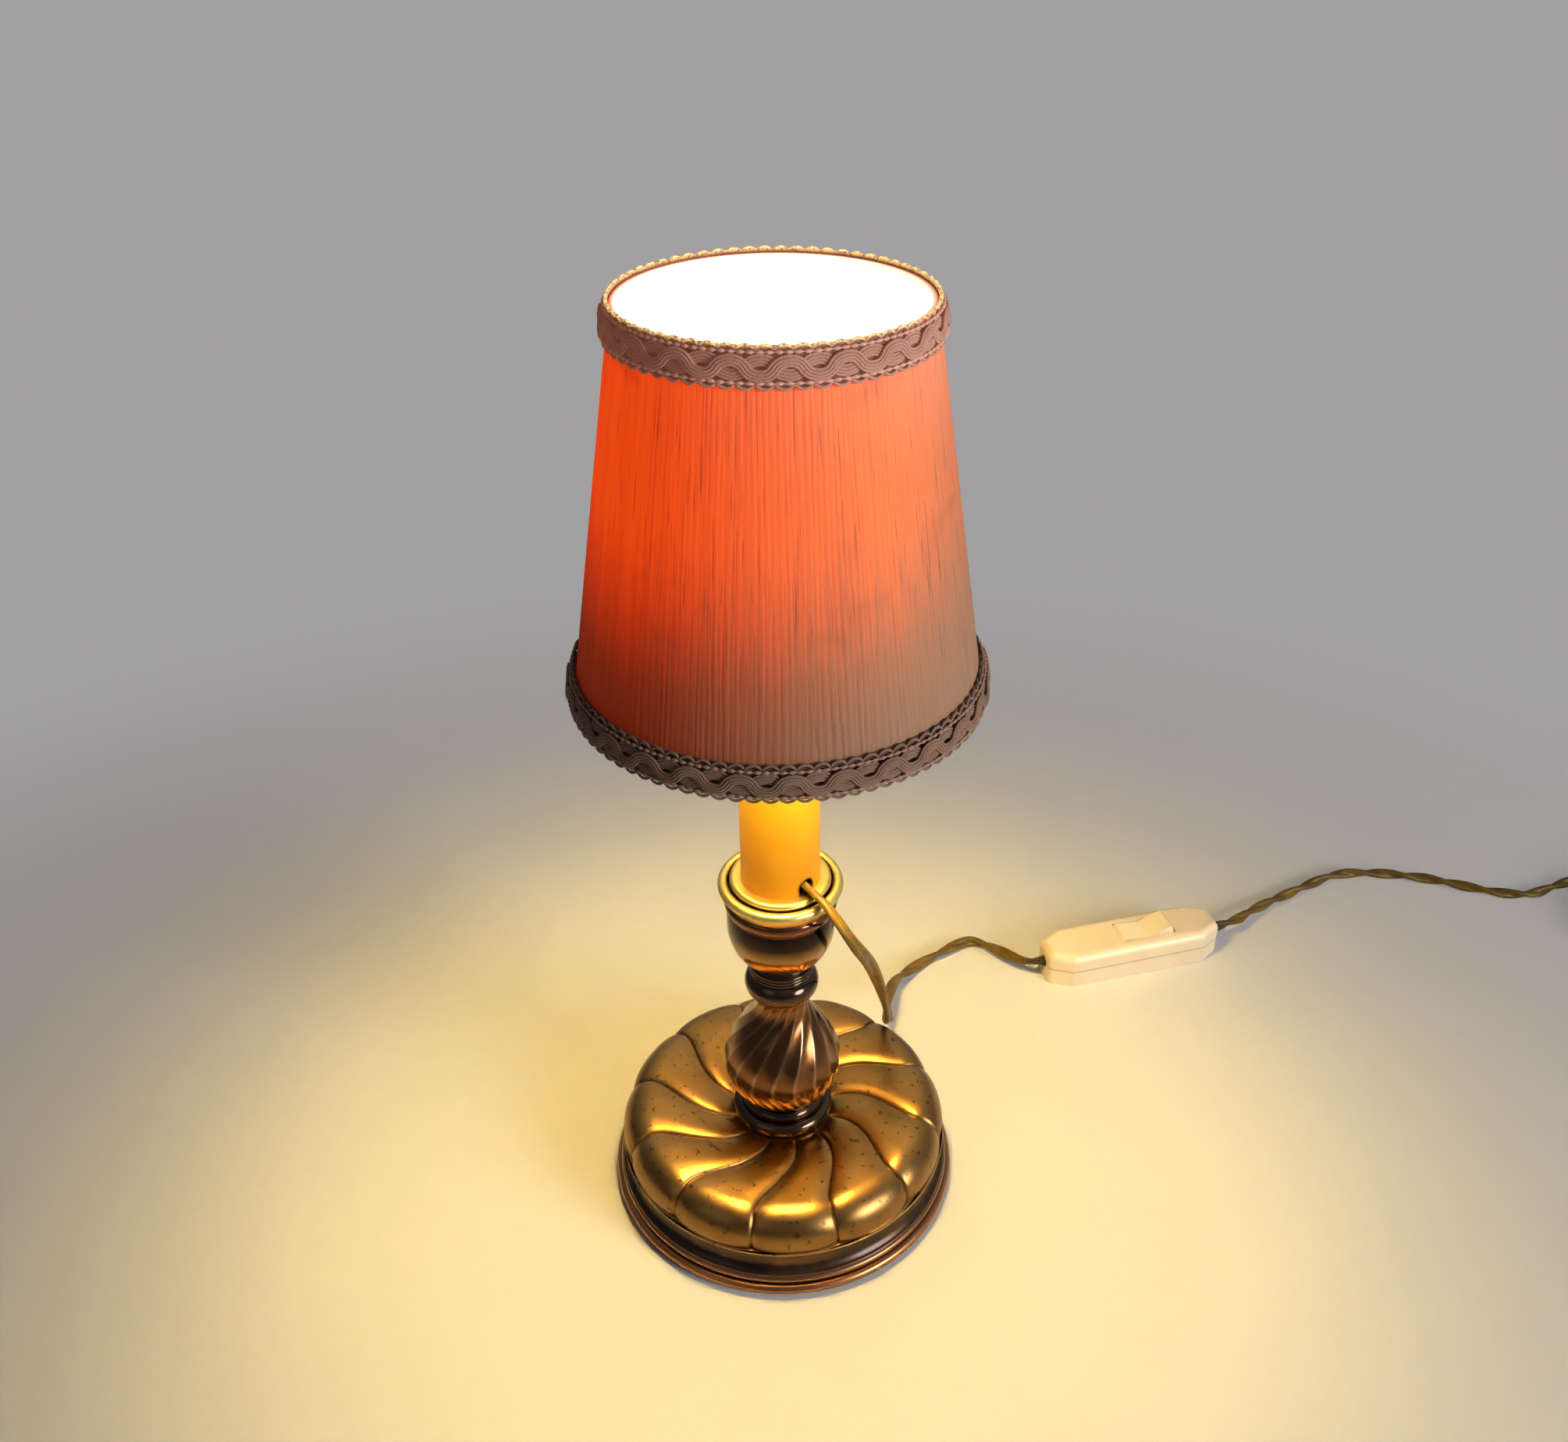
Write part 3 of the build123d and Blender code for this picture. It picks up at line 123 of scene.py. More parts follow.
class Finish:
    """A material, or the world, and the nodes that make it."""

    def __init__(self, name, kind="materials"):
        self.material = getattr(bpy.data, kind).new(name)
        self.material.use_nodes = True
        self.tree = self.material.node_tree
        self.tree.nodes.clear()
        self.place = self.node("ShaderNodeTexCoord", out="Object")

    def node(self, kind, settings=None, sockets=None, out=0):
        made = self.tree.nodes.new(kind)
        for name, setting in (settings or {}).items():
            if name == "stops":
                marks = made.color_ramp.elements
                while len(marks) < len(setting):
                    marks.new(0.5)
                for mark, (spot, colour) in zip(marks, setting):
                    mark.position = spot
                    mark.color = (*colour, 1)
            else:
                setattr(made, name, setting)
        for name, value in (sockets or {}).items():
            socket = made.inputs[name]
            if isinstance(value, Value):
                self.tree.links.new(value.socket, socket)
            elif socket.type == "RGBA":
                socket.default_value = (*value, 1)
            else:
                socket.default_value = value
        return Value(self, made.outputs[out])

    def axes(self):
        """X, Y and Z of the place, in metres."""
        return [self.node("ShaderNodeSeparateXYZ", None, {0: self.place}, out) for out in range(3)]

    def noise(self, scale, detail=3.0, place=None, distortion=0.0):
        return self.node(
            "ShaderNodeTexNoise",
            None,
            {"Vector": place or self.place, "Scale": scale, "Detail": detail, "Distortion": distortion},
        )

    def stretched(self, x, y, z):
        """The place with each axis scaled."""
        return self.node("ShaderNodeVectorMath", {"operation": "MULTIPLY"}, {0: self.place, 1: (x, y, z)})

    def span(self, value, low, high, start=0.0, end=1.0):
        """Start to end, smoothly, as a value goes from low to high."""
        return self.node(
            "ShaderNodeMapRange",
            {"interpolation_type": "SMOOTHSTEP"},
            {"Value": value, "From Min": low, "From Max": high, "To Min": start, "To Max": end},
        )

    def blend(self, share, first, second):
        return self.node("ShaderNodeMix", {"data_type": "RGBA"}, {0: share, 6: first, 7: second}, 2)

    def ramp(self, value, *stops):
        return self.node("ShaderNodeValToRGB", {"stops": stops}, {0: value})

    def away(self, spot):
        """The distance to a spot in metres."""
        ends = {0: self.place, 1: spot}
        return self.node("ShaderNodeVectorMath", {"operation": "DISTANCE"}, ends, "Value")

    def reach(self):
        """The distance from the lamp's axis, in metres."""
        x, y = self.axes()[:2]
        return (x * x + y * y) ** 0.5

    def own(self, name):
        """A value that the mesh carries."""
        return self.node("ShaderNodeAttribute", {"attribute_name": name}, None, "Fac")

    def rays(self):
        """One for what is seen directly, and one for what is seen mirrored or through glass."""
        named = ("Is Camera Ray", "Is Glossy Ray", "Is Transmission Ray")
        seen, mirrored, through = [self.node("ShaderNodeLightPath", out=name) for name in named]
        return seen, mirrored + through

    def bump(self, height, depth, strength=1.0):
        return self.node(
            "ShaderNodeBump", None, {"Height": height, "Distance": depth, "Strength": strength}
        )

    def surface(self, **sockets):
        named = {name.replace("_", " "): value for name, value in sockets.items()}
        shader = self.node("ShaderNodeBsdfPrincipled", None, named)
        self.node_to_output(shader)
        return self

    def node_to_output(self, shader, kind="ShaderNodeOutputMaterial"):
        end = self.tree.nodes.new(kind)
        self.tree.links.new(shader.socket, end.inputs["Surface"])


# Metals

def golden_brass(name, deep, bright, roughness, tarnish, edge=0.0, groove=0.0):
    """Old polished brass with cloudy tarnish and dark specks. Beyond an edge radius it is painted browner,
    as a dark reflection on the shoulder, and it has dark creases; about a groove radius it is painted dark,
    as shade in the groove."""
    brass = Finish(name)
    height, reach = brass.axes()[2], brass.reach()
    cloud = brass.noise(42, 5)
    fine = brass.noise(260, 4)
    specks = brass.span(brass.noise(430, 3), 0.62, 0.69)
    stains = brass.span(brass.noise(70, 5), 0.52, 0.78)
    colour = brass.blend(brass.span(cloud, 0.35, 0.65), deep, bright)
    colour = brass.blend(stains * tarnish, colour, [0.5 * part for part in deep])
    if groove:
        # painted shade: dark in the groove about the groove radius
        painted_shade = brass.span(reach, groove + 0.0014, groove + 0.0007) * brass.span(height, 0.1290, 0.1281)
        colour = brass.blend(painted_shade * 0.93, colour, (0.035, 0.020, 0.006))
    if edge:
        # painted dark reflection: browner low on the shoulder beyond the edge radius
        rim = brass.span(reach, edge, edge + 0.006) * brass.span(height, 0.0176, 0.0184)
        colour = brass.blend(rim * 0.8, colour, (0.15, 0.08, 0.03))
        colour = brass.blend(brass.own("hollow") * 0.75, colour, (0.07, 0.032, 0.012))
    colour = brass.blend(specks * (1.8 * tarnish), colour, (0.055, 0.03, 0.016))
    return brass.surface(
        Base_Color=colour,
        Metallic=1.0,
        Roughness=roughness + 0.12 * fine + 0.10 * stains - 0.06,
        Normal=brass.bump(fine, 0.00004),
    )


def dark_bronze(name, deep, bright, roughness):
    """Dark patinated brass, rubbed lighter in cloudy places."""
    bronze = Finish(name)
    cloud = bronze.noise(70, 5)
    fine = bronze.noise(420, 4)
    colour = bronze.blend(bronze.span(cloud, 0.4, 0.72), deep, bright)
    return bronze.surface(
        Base_Color=colour,
        Metallic=1.0,
        Roughness=roughness + 0.10 * fine - 0.05,
        Normal=bronze.bump(fine, 0.00002),
        Coat_Weight=0.25,
        Coat_Roughness=0.1,
    )


def banded_bronze(name, rubbed, roughness, *bands):
    """Patina, and painted light and shade, in bands, each a height in millimetres and a colour, rubbed in
    cloudy places.
    """
    bronze = Finish(name)
    height = bronze.axes()[2]
    cloud = bronze.noise(60, 5)
    fine = bronze.noise(420, 4)
    low, high = bands[0][0], bands[-1][0]
    level = (height / MM - low) / (high - low) + 0.02 * cloud - 0.01
    stops = [((mark - low) / (high - low), colour) for mark, colour in bands]
    return bronze.surface(
        Base_Color=bronze.blend(bronze.span(cloud, 0.45, 0.75) * 0.35, bronze.ramp(level, *stops), rubbed),
        Metallic=1.0,
        Roughness=roughness + 0.10 * fine,
        Normal=bronze.bump(fine, 0.000015),
        Coat_Weight=0.2,
        Coat_Roughness=0.12,
    )


def knop_bronze():
    """The knop's patina: a lacquered brown, lighter on the ribs where rubbed and as a painted highlight,
    golden on the strokes low on the belly as a painted reflection of the dome.
    """
    bronze = Finish("knop_bronze")
    height = bronze.axes()[2]
    rib = bronze.own("rib")
    fine = bronze.noise(420, 4)
    cloud = bronze.noise(90, 3)
    low = bronze.span(height, 0.049, 0.044)
    deep = bronze.blend(cloud, (0.080, 0.034, 0.011), (0.105, 0.047, 0.017))
    deep = bronze.blend(bronze.span(height, 0.047, 0.060), deep, (0.15, 0.060, 0.017))
    # lighter tone on the ribs: rubbed brass and a painted highlight; low on the belly golden, a painted
    # reflection of the dome
    lighter_tone = bronze.blend(low, (0.24, 0.145, 0.085), (0.66, 0.40, 0.13))
    return bronze.surface(
        Base_Color=bronze.blend(bronze.span(rib, 0.15, 0.9), deep, lighter_tone),
        Metallic=1.0,
        Roughness=0.18 + 0.08 * fine,
        Normal=bronze.bump(fine, 0.00001),
        Coat_Weight=0.2,
        Coat_Roughness=0.1,
    )


def plated(name, colour, roughness):
    """Plain plated or drawn metal with a fine grain."""
    metal = Finish(name)
    grain = metal.noise(700, 3)
    return metal.surface(
        Base_Color=metal.blend(grain * 0.5, colour, [0.7 * part for part in colour]),
        Metallic=1.0,
        Roughness=roughness + 0.15 * grain,
        Normal=metal.bump(grain, 0.00002),
    )


# Plastics, paper and glass

def moulded(name, colour, roughness, soil=0.0, seam=0.0, glow=0.0):
    """Moulded plastic or lacquer: a faint cloud, a fine orange peel and a parting line at a seam height."""
    plastic = Finish(name)
    cloud = plastic.noise(55, 4)
    peel = plastic.noise(900, 2)
    stained = [part * (1 - soil) for part in colour]
    tinted = plastic.blend(plastic.span(cloud, 0.35, 0.75), colour, stained)
    if seam:
        parting = plastic.span(abs(plastic.axes()[2] - seam), 0.0006, 0.0002)
        tinted = plastic.blend(parting * 0.45, tinted, [0.25 * part for part in colour])
    return plastic.surface(
        Base_Color=tinted,
        Roughness=roughness + 0.12 * cloud,
        Normal=plastic.bump(peel, 0.00004, 0.4),
        Coat_Weight=0.15,
        Coat_Roughness=0.2,
        Emission_Color=colour,
        Emission_Strength=glow,
    )


def candle_ivory():
    """The sleeve: translucent ivory with the bulb's light painted on as a glow that fades downwards,
    painted shade making its base colour deeper orange towards its foot, and painted shade about the lead's
    mouth, where it is dark and does not glow."""
    ivory = Finish("candle_ivory")
    height = ivory.axes()[2]
    outside = ivory.span(ivory.reach(), 0.0113, 0.0122)
    # painted shade: dark and unlit about the lead's mouth, standing for the shade in the hole
    mouth = ivory.span(ivory.away(SLEEVE_MOUTH), 0.0036, 0.0027)
    cloud = ivory.noise(90, 4)
    # painted light: the bulb's light as a glow that fades downwards
    level = ivory.span(height + 0.006 * cloud, 0.128, 0.225)
    glow = ivory.ramp(
        level,
        (0.0, (0.12, 0.030, 0.0)),
        (0.15, (0.30, 0.105, 0.0)),
        (0.40, (0.50, 0.26, 0.001)),
        (1.0, (0.62, 0.32, 0.01)),
    )
    colour = ivory.blend(cloud, (0.72, 0.51, 0.006), (0.66, 0.42, 0.004))
    # painted shade: the base colour deeper orange towards the foot
    colour = ivory.blend(level, (0.50, 0.215, 0.003), colour)
    return ivory.surface(
        Base_Color=ivory.blend(mouth * 0.92, colour, (0.03, 0.012, 0.002)),
        Roughness=0.36 + 0.15 * cloud,
        Specular_IOR_Level=0.3,
        Emission_Color=ivory.blend(outside * (1 - mouth), (0.0, 0.0, 0.0), glow),
        Emission_Strength=0.5,
        Normal=ivory.bump(cloud, 0.0001, 0.5),
    )


def lit_opal():
    """The bulb's opal glass, lit."""
    opal = Finish("lit_opal")
    cloud = opal.noise(60, 3)
    return opal.surface(
        Base_Color=opal.blend(cloud, (1.0, 0.95, 0.86), (0.96, 0.90, 0.80)),
        Roughness=0.25 + 0.1 * cloud,
        Emission_Color=opal.blend(cloud, (1.0, 0.75, 0.25), (1.0, 0.72, 0.22)),
        Emission_Strength=190.0,
    )


def lining_paper():
    """The shade's pale backing, with the fine fibres of laminated paper, its upper part glowing with
    painted light from the bulb.
    """
    paper = Finish("lining_paper")
    fibres = paper.noise(300, 4, paper.stretched(1, 1, 0.2))
    # painted light: the upper lining glows as if lit by the bulb
    lit = paper.span(paper.axes()[2], 0.25, 0.30)
    return paper.surface(
        Base_Color=paper.blend(fibres, (0.92, 0.84, 0.74), (0.84, 0.74, 0.62)),
        Roughness=0.8 + 0.1 * fibres,
        Emission_Color=paper.blend(lit, (0.0, 0.0, 0.0), INSIDE_GLOW),
        Emission_Strength=1.5,
        Normal=paper.bump(fibres, 0.0001, 0.5),
    )


# Cloth

def shade_cloth():
    """Finely crinkled salmon cloth with the bulb's light from behind painted on as a glow: hottest beside
    the bulb, dull at the hem. Its base colour carries painted light and shade too.
    """
    cloth = Finish("shade_cloth")
    x, y, z = cloth.axes()
    fold = cloth.own("fold")
    around = cloth.node(
        "ShaderNodeVectorMath",
        {"operation": "NORMALIZE"},
        {0: cloth.node("ShaderNodeCombineXYZ", None, {"X": x, "Y": y})},
    )
    thread = cloth.node("ShaderNodeCombineXYZ", None, {"Z": z * 0.45})
    streaked = cloth.node("ShaderNodeVectorMath", {"operation": "ADD"}, {0: around, 1: thread})
    fine = cloth.noise(170, 4, streaked)
    broad = cloth.noise(24, 3, streaked)
    threads = cloth.span(cloth.noise(110, 3, streaked), 0.60, 0.68)
    weave = cloth.noise(1500, 2)
    stains = cloth.span(cloth.noise(38, 3, distortion=0.6), 0.60, 0.80)
    # painted shade: the cloth is darker, and glows less, in the pleat creases
    crease = 1 - cloth.span(fold, 0.0, 0.5)
    inside = cloth.own("inside")
    # painted light: the bulb's light through the cloth as a glow, rising from the hem, weaker towards +x
    # and through threads and stains
    level = z + 0.010 * (broad - 0.5)
    painted_glow = cloth.span(level, 0.212, 0.272)
    painted_glow = painted_glow * cloth.span(x, 0.025, 0.052, 1.0, 0.48) * cloth.span(x, -0.044, -0.054, 1.0, 0.82)
    painted_glow = painted_glow * (0.92 + 0.30 * (broad - 0.5)) * (1 - 0.25 * crease) * (1 - 0.45 * threads)
    painted_glow = painted_glow * (1 - 0.22 * stains) * (0.97 + 0.3 * (fine - 0.5))
    # painted shade on the -x side: a darker, deeper orange base colour there, with a little painted light
    # added to the glow low on that side
    shaded = cloth.span(x, 0.040, -0.050)
    painted_glow = painted_glow + 0.17 * shaded * (1 - painted_glow)
    glow = cloth.ramp(
        painted_glow,
        (0.0, (0.0, 0.0, 0.0)),
        (0.27, (0.15, 0.005, 0.0001)),
        (0.55, (0.42, 0.017, 0.0003)),
        (0.80, (0.66, 0.036, 0.0006)),
        (1.0, (0.84, 0.062, 0.002)),
    )
    # painted light: the inside of the cloth glows with the light inside the shade
    glow = cloth.blend(inside, glow, INSIDE_GLOW)
    colour = cloth.blend(broad, (0.36, 0.207, 0.13), (0.31, 0.172, 0.10))
    colour = cloth.blend(cloth.span(z, 0.272, 0.312) * 0.75, colour, (0.55, 0.34, 0.25))
    # painted light: the base colour is deeper orange where the painted glow is strong
    colour = cloth.blend(painted_glow * 0.5, colour, (0.36, 0.20, 0.035))
    colour = cloth.blend(shaded * 0.88, colour, (0.24, 0.044, 0.004))
    colour = cloth.blend(crease * 0.35, colour, (0.16, 0.055, 0.03))
    colour = cloth.blend(threads * 0.45, colour, (0.17, 0.060, 0.030))
    colour = cloth.blend(stains * 0.3, colour, (0.21, 0.095, 0.055))
    colour = cloth.blend(inside, colour, (0.86, 0.74, 0.60))
    relief = fine * 0.6 + weave * 0.4
    return cloth.surface(
        Base_Color=colour,
        Roughness=0.75 + 0.15 * fine,
        Specular_IOR_Level=0.15,
        Sheen_Weight=0.03,
        Sheen_Roughness=0.5,
        Emission_Color=glow,
        Emission_Strength=1.0,
        Normal=cloth.bump(relief, 0.00025, 0.8),
    )


def braid_yarn(name, colour, lighter_tone, glow, rim=None):
    """Wrapped braid yarn on a tape painted dark as the shade between the cords: fine turns of thread, paler
    on the edge cords, with the light from behind painted on as a glow and painted golden light over a rim
    height."""
    yarn = Finish(name)
    wraps = yarn.noise(1400, 2)
    cloud = yarn.noise(80, 3)
    cord = yarn.own("cord")
    mottle = yarn.blend(yarn.span(cloud, 0.35, 0.65), colour, lighter_tone)
    mottle = yarn.blend(yarn.span(cord, 0.6, 1.0), mottle, [1.5 * part for part in lighter_tone])
    mottle = yarn.blend(wraps * 0.4, mottle, [0.55 * part for part in colour])
    # painted light: golden light spilt over the rim height
    if rim:
        spilt = yarn.span(yarn.axes()[2], rim, rim + 0.0012) * yarn.span(wraps, 0.3, 0.6)
        glow = yarn.blend(spilt, glow, (1.0, 0.66, 0.22))
    return yarn.surface(
        # painted shade: the tape between the cords is dark
        Base_Color=yarn.blend(yarn.span(cord, 0.5, 0.0), mottle, [0.32 * part for part in colour]),
        Roughness=0.7 + 0.15 * wraps,
        Sheen_Weight=0.2,
        Sheen_Roughness=0.4,
        Emission_Color=glow,
        Emission_Strength=1.0,
        Normal=yarn.bump(wraps, 0.0003, 0.7),
    )


def green_felt():
    felt = Finish("green_felt")
    fibres = felt.noise(1100, 4)
    cloud = felt.noise(60, 3)
    return felt.surface(
        Base_Color=felt.blend(fibres, (0.035, 0.075, 0.045), (0.09, 0.15, 0.095)),
        Roughness=0.9 + 0.08 * cloud,
        Sheen_Weight=0.4,
        Normal=felt.bump(fibres, 0.0004),
    )


def flex_sheath():
    """The lead's brown-gold sheath over its two cores, painted darker near where it enters the switch, as
    shade.
    """
    sheath = Finish("flex_sheath")
    cloud = sheath.noise(120, 4)
    fine = sheath.noise(700, 3)
    colour = sheath.blend(sheath.span(cloud, 0.35, 0.7), (0.140, 0.084, 0.008), (0.078, 0.044, 0.004))
    for mouth in (LAMP_SIDE_MOUTH, MAINS_SIDE_MOUTH):
        # painted shade: darker near each mouth of the switch
        painted_shade = sheath.span(sheath.away(mouth), 0.016, 0.003)
        colour = sheath.blend(painted_shade * 0.85, colour, (0.018, 0.010, 0.005))
    return sheath.surface(
        Base_Color=colour,
        Roughness=0.36 + 0.15 * fine,
        Specular_IOR_Level=0.25,
        Subsurface_Weight=0.15,
        Subsurface_Radius=(0.002, 0.001, 0.0004),
        Normal=sheath.bump(fine, 0.00005),
    )


# Shapes

SECTORS = 20


def arc(start, middle, end, count=12):
    """Points on the arc from start through middle to end, without start."""
    (ax, ay), (bx, by), (cx, cy) = start, middle, end
    twice = 2 * (ax * (by - cy) + bx * (cy - ay) + cx * (ay - by))
    a2, b2, c2 = ax * ax + ay * ay, bx * bx + by * by, cx * cx + cy * cy
    ox = (a2 * (by - cy) + b2 * (cy - ay) + c2 * (ay - by)) / twice
    oy = (a2 * (cx - bx) + b2 * (ax - cx) + c2 * (bx - ax)) / twice
    first = atan2(ay - oy, ax - ox)
    through = (atan2(by - oy, bx - ox) - first) % (2 * pi)
    sweep = (atan2(cy - oy, cx - ox) - first) % (2 * pi)
    if through > sweep:
        sweep -= 2 * pi
    radius = hypot(ax - ox, ay - oy)
    angles = [first + sweep * step / count for step in range(1, count + 1)]
    return [(ox + radius * cos(angle), oy + radius * sin(angle)) for angle in angles]


def spun(outline, steps=160):
    """A closed outline of radius and height, in millimetres, turned about the lamp's axis by sectors."""
    shape = bmesh.new()
    corners = [shape.verts.new((radius * MM, 0, height * MM)) for radius, height in outline]
    edges = [shape.edges.new(pair) for pair in zip(corners, corners[1:] + corners[:1])]
    bmesh.ops.spin(
        shape,
        geom=corners + edges,
        axis=(0, 0, 1),
        cent=(0, 0, 0),
        angle=2 * pi / SECTORS,
        steps=steps // SECTORS,
    )
    sector = shape.verts[:] + shape.edges[:] + shape.faces[:]
    for place in range(1, SECTORS):
        copied = bmesh.ops.duplicate(shape, geom=sector)["geom"]
        corners = [part for part in copied if isinstance(part, bmesh.types.BMVert)]
        turn = Matrix.Rotation(2 * pi * place / SECTORS, 3, "Z")
        bmesh.ops.rotate(shape, verts=corners, cent=(0, 0, 0), matrix=turn)
    bmesh.ops.remove_doubles(shape, verts=shape.verts, dist=1e-6)
    bmesh.ops.recalc_face_normals(shape, faces=shape.faces)
    return shape


def piece(name, shape, finish, replaced, body="lamp", sharp=38):
    """A finished mesh piece that rides on a body and stands for CAD nodes."""
    mesh = bpy.data.meshes.new(name)
    shape.to_mesh(mesh)
    shape.free()
    mesh.shade_smooth()
    mesh.set_sharp_from_angle(angle=radians(sharp))
    mesh.materials.append(finish.material)
    made = bpy.data.objects.new(name, mesh)
    scene.collection.objects.link(made)
    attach(made, body)
    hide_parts(*replaced)
    return made


def smooth_step(share):
    share = min(max(share, 0.0), 1.0)
    return share * share * (3 - 2 * share)


# The lead: a flat twin flex, twisted along its way

LAMP_ROUTE = [
    (5.785, -6.894, 132.65),
    (12.6, -15.2, 132.2),
    (17.3, -21.4, 128.8),
    (22.0, -23.0, 121.0),
    (26.2, -15.5, 109.0),
    (28.8, -5.0, 96.5),
    (31.4, 5.5, 82.5),
    (34.4, 17.1, 65.5),
    (37.4, 29.2, 46.5),
    (40.2, 41.1, 26.3),
    (40.9, 50.3, 17.0),
    (42.1, 63.5, 15.0),
    (44.5, 76.0, 11.5),
    (49.5, 88.0, 5.0),
    (57.5, 97.5, 2.4),
    (66.0, 103.5, 2.4),
    (74.5, 109.5, 2.4),
    (81.5, 112.5, 2.4),
    (87.5, 108.5, 3.4),
    (93.0, 101.0, 5.8),
    (99.5, 93.8, 7.3),
    (106.0, 92.6, 7.5),
    (112.29, 94.28, 7.5),
]
MAINS_ROUTE = [
    (180.71, 111.72, 7.5),
    (194.0, 115.6, 7.5),
    (206.0, 127.5, 4.2),
    (220.5, 137.5, 2.4),
    (236.0, 146.0, 2.4),
    (252.0, 154.5, 2.4),
    (268.5, 154.8, 2.4),
    (283.0, 152.5, 2.4),
    (297.5, 148.5, 2.4),
    (310.0, 143.0, 2.4),
    (322.5, 138.8, 2.4),
    (333.5, 137.8, 2.4),
    (345.0, 142.8, 2.4),
    (356.5, 147.5, 2.6),
    (371.6, 150.0, 3.1),
    (385.4, 150.0, 3.1),
]
PLUG_ROUTE = [(426.5, 112, 8.3), (426.5, 107.4, 8.3)]
TWIN_WIDTH = 4.5
TWIN_THICKNESS = 2.4
SLACK_TWIST = 1.6
COIL_X, COIL_Y = 390, 112
COIL_RADIUS = 38
COIL_PITCH = 6
COIL_FLOOR, COIL_RISE = 3.1, 5.2
TURNS_IN, TURNS_ROUND = 3.5, 0.5
STEPS_PER_TURN = 12
COIL_STEPS = 87


def coil_points():
    """The stored turns: inwards on the floor, up in half a turn, and out again on top."""
    points = []
    for step in range(1, COIL_STEPS + 1):
        turns = step / STEPS_PER_TURN
        climb = smooth_step((turns - TURNS_IN) / TURNS_ROUND)
        inwards = min(turns, TURNS_IN) - max(turns - TURNS_IN - TURNS_ROUND, 0)
        spread = (COIL_RADIUS - COIL_PITCH * inwards) / cos(pi / STEPS_PER_TURN)
        angle = pi / 2 - 2 * pi * turns
        height = COIL_FLOOR + COIL_RISE * climb
        points.append((COIL_X + spread * cos(angle), COIL_Y + spread * sin(angle), height))
    return points


def twin_section():
    """The flex across: two round cores side by side with a narrow web."""
    data = bpy.data.curves.new("twin_section", "CURVE")
    data.dimensions = "2D"
    line = data.splines.new("POLY")
    core = TWIN_THICKNESS / 2
    offset = TWIN_WIDTH / 2 - core
    angles = [radians(angle) for angle in (-140, -105, -70, -35, 0, 35, 70, 105, 140)]
    right = [(offset + core * cos(angle), core * sin(angle)) for angle in angles]
    left = [(-x, -y) for x, y in right]
    line.points.add(len(right + left) - 1)
    for point, (x, y) in zip(line.points, right + left):
        point.co = (x * MM, y * MM, 0, 1)
    line.use_cyclic_u = True
    section = bpy.data.objects.new("twin_section", data)
    section.hide_render = True
    section.hide_viewport = True
    return section


def flex(name, route, start, slack, twist, section, finish, replaced):
    """One run of the lead on a smooth line: turned by start degrees, hardly twisted for its slack length
    and then by twist degrees to the millimetre."""
    data = bpy.data.curves.new(name, "CURVE")
    data.dimensions = "3D"
    data.twist_mode = "MINIMUM"
    data.resolution_u = 12
    line = data.splines.new("NURBS")
    line.points.add(len(route) - 1)
    turned, travelled = radians(start), 0.0
    last = route[0]
    for point, spot in zip(line.points, route):
        leg = (Vector(spot) - Vector(last)).length
        travelled += leg
        turned += radians(SLACK_TWIST if travelled < slack else twist) * leg
        last = spot
        point.co = (*[part * MM for part in spot], 1)
        point.tilt = turned
    line.order_u = 3
    line.use_endpoint_u = True
    data.bevel_mode = "OBJECT"
    data.bevel_object = section
    data.use_fill_caps = True
    data.materials.append(finish.material)
    made = bpy.data.objects.new(name, data)
    scene.collection.objects.link(made)
    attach(made, "lamp")
    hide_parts(*replaced)
    return made


section = twin_section()
sheath = flex_sheath()
stored_route = MAINS_ROUTE + coil_points() + PLUG_ROUTE
lamp_flex = flex("lamp_flex", LAMP_ROUTE, -65, 150, 7.5, section, sheath, ["lamp_lead"])
mains_flex = flex("mains_flex", stored_route, 0, 0, 10.6, section, sheath, ["mains_lead", "lead_coil"])


# Foot, dome and column, in millimetres

BORE = 5.2
LOBES = 12
HUB_RADIUS = 16.5
CREST_RADIUS, CREST_HEIGHT = 46, 30.5
SLOPE_RUN, SLOPE_SAG = CREST_RADIUS - HUB_RADIUS, 4.8
SHOULDER = 10.5
SHOULDER_HEIGHT = CREST_HEIGHT - SHOULDER
SHOULDER_SWEEP = 102.1
DOME_STEPS = 34
CREASES_FROM = 16.0
LIP_TOP = 17.79
RIDGES = 17
KNOP_FOOT, KNOP_HEIGHT, KNOP_RADIUS = 37, 44, 20
KNOP_BELLY = 0.31
FLUTE_DEPTH = 0.62


def foot_outline():
    outline = [(50.2, 1.0), (58.0, 1.0)]
    outline += arc(outline[-1], (60.0, 2.7), (58.3, 4.5), 14)
    outline += [(57.5, 4.62), (57.3, 4.9)]
    outline += arc(outline[-1], (58.3, 6.1), (57.5, 7.3), 10)
    outline += [(57.2, 7.45)]
    outline += arc(outline[-1], (57.55, 8.0), (57.0, 8.5), 6)
    outline += arc(outline[-1], (54.6, 12.6), (55.4, 16.6), 16)
    outline += [(55.3, 16.95), (46.0, 16.95), (46.0, 14.0), (50.2, 14.0)]
    return outline


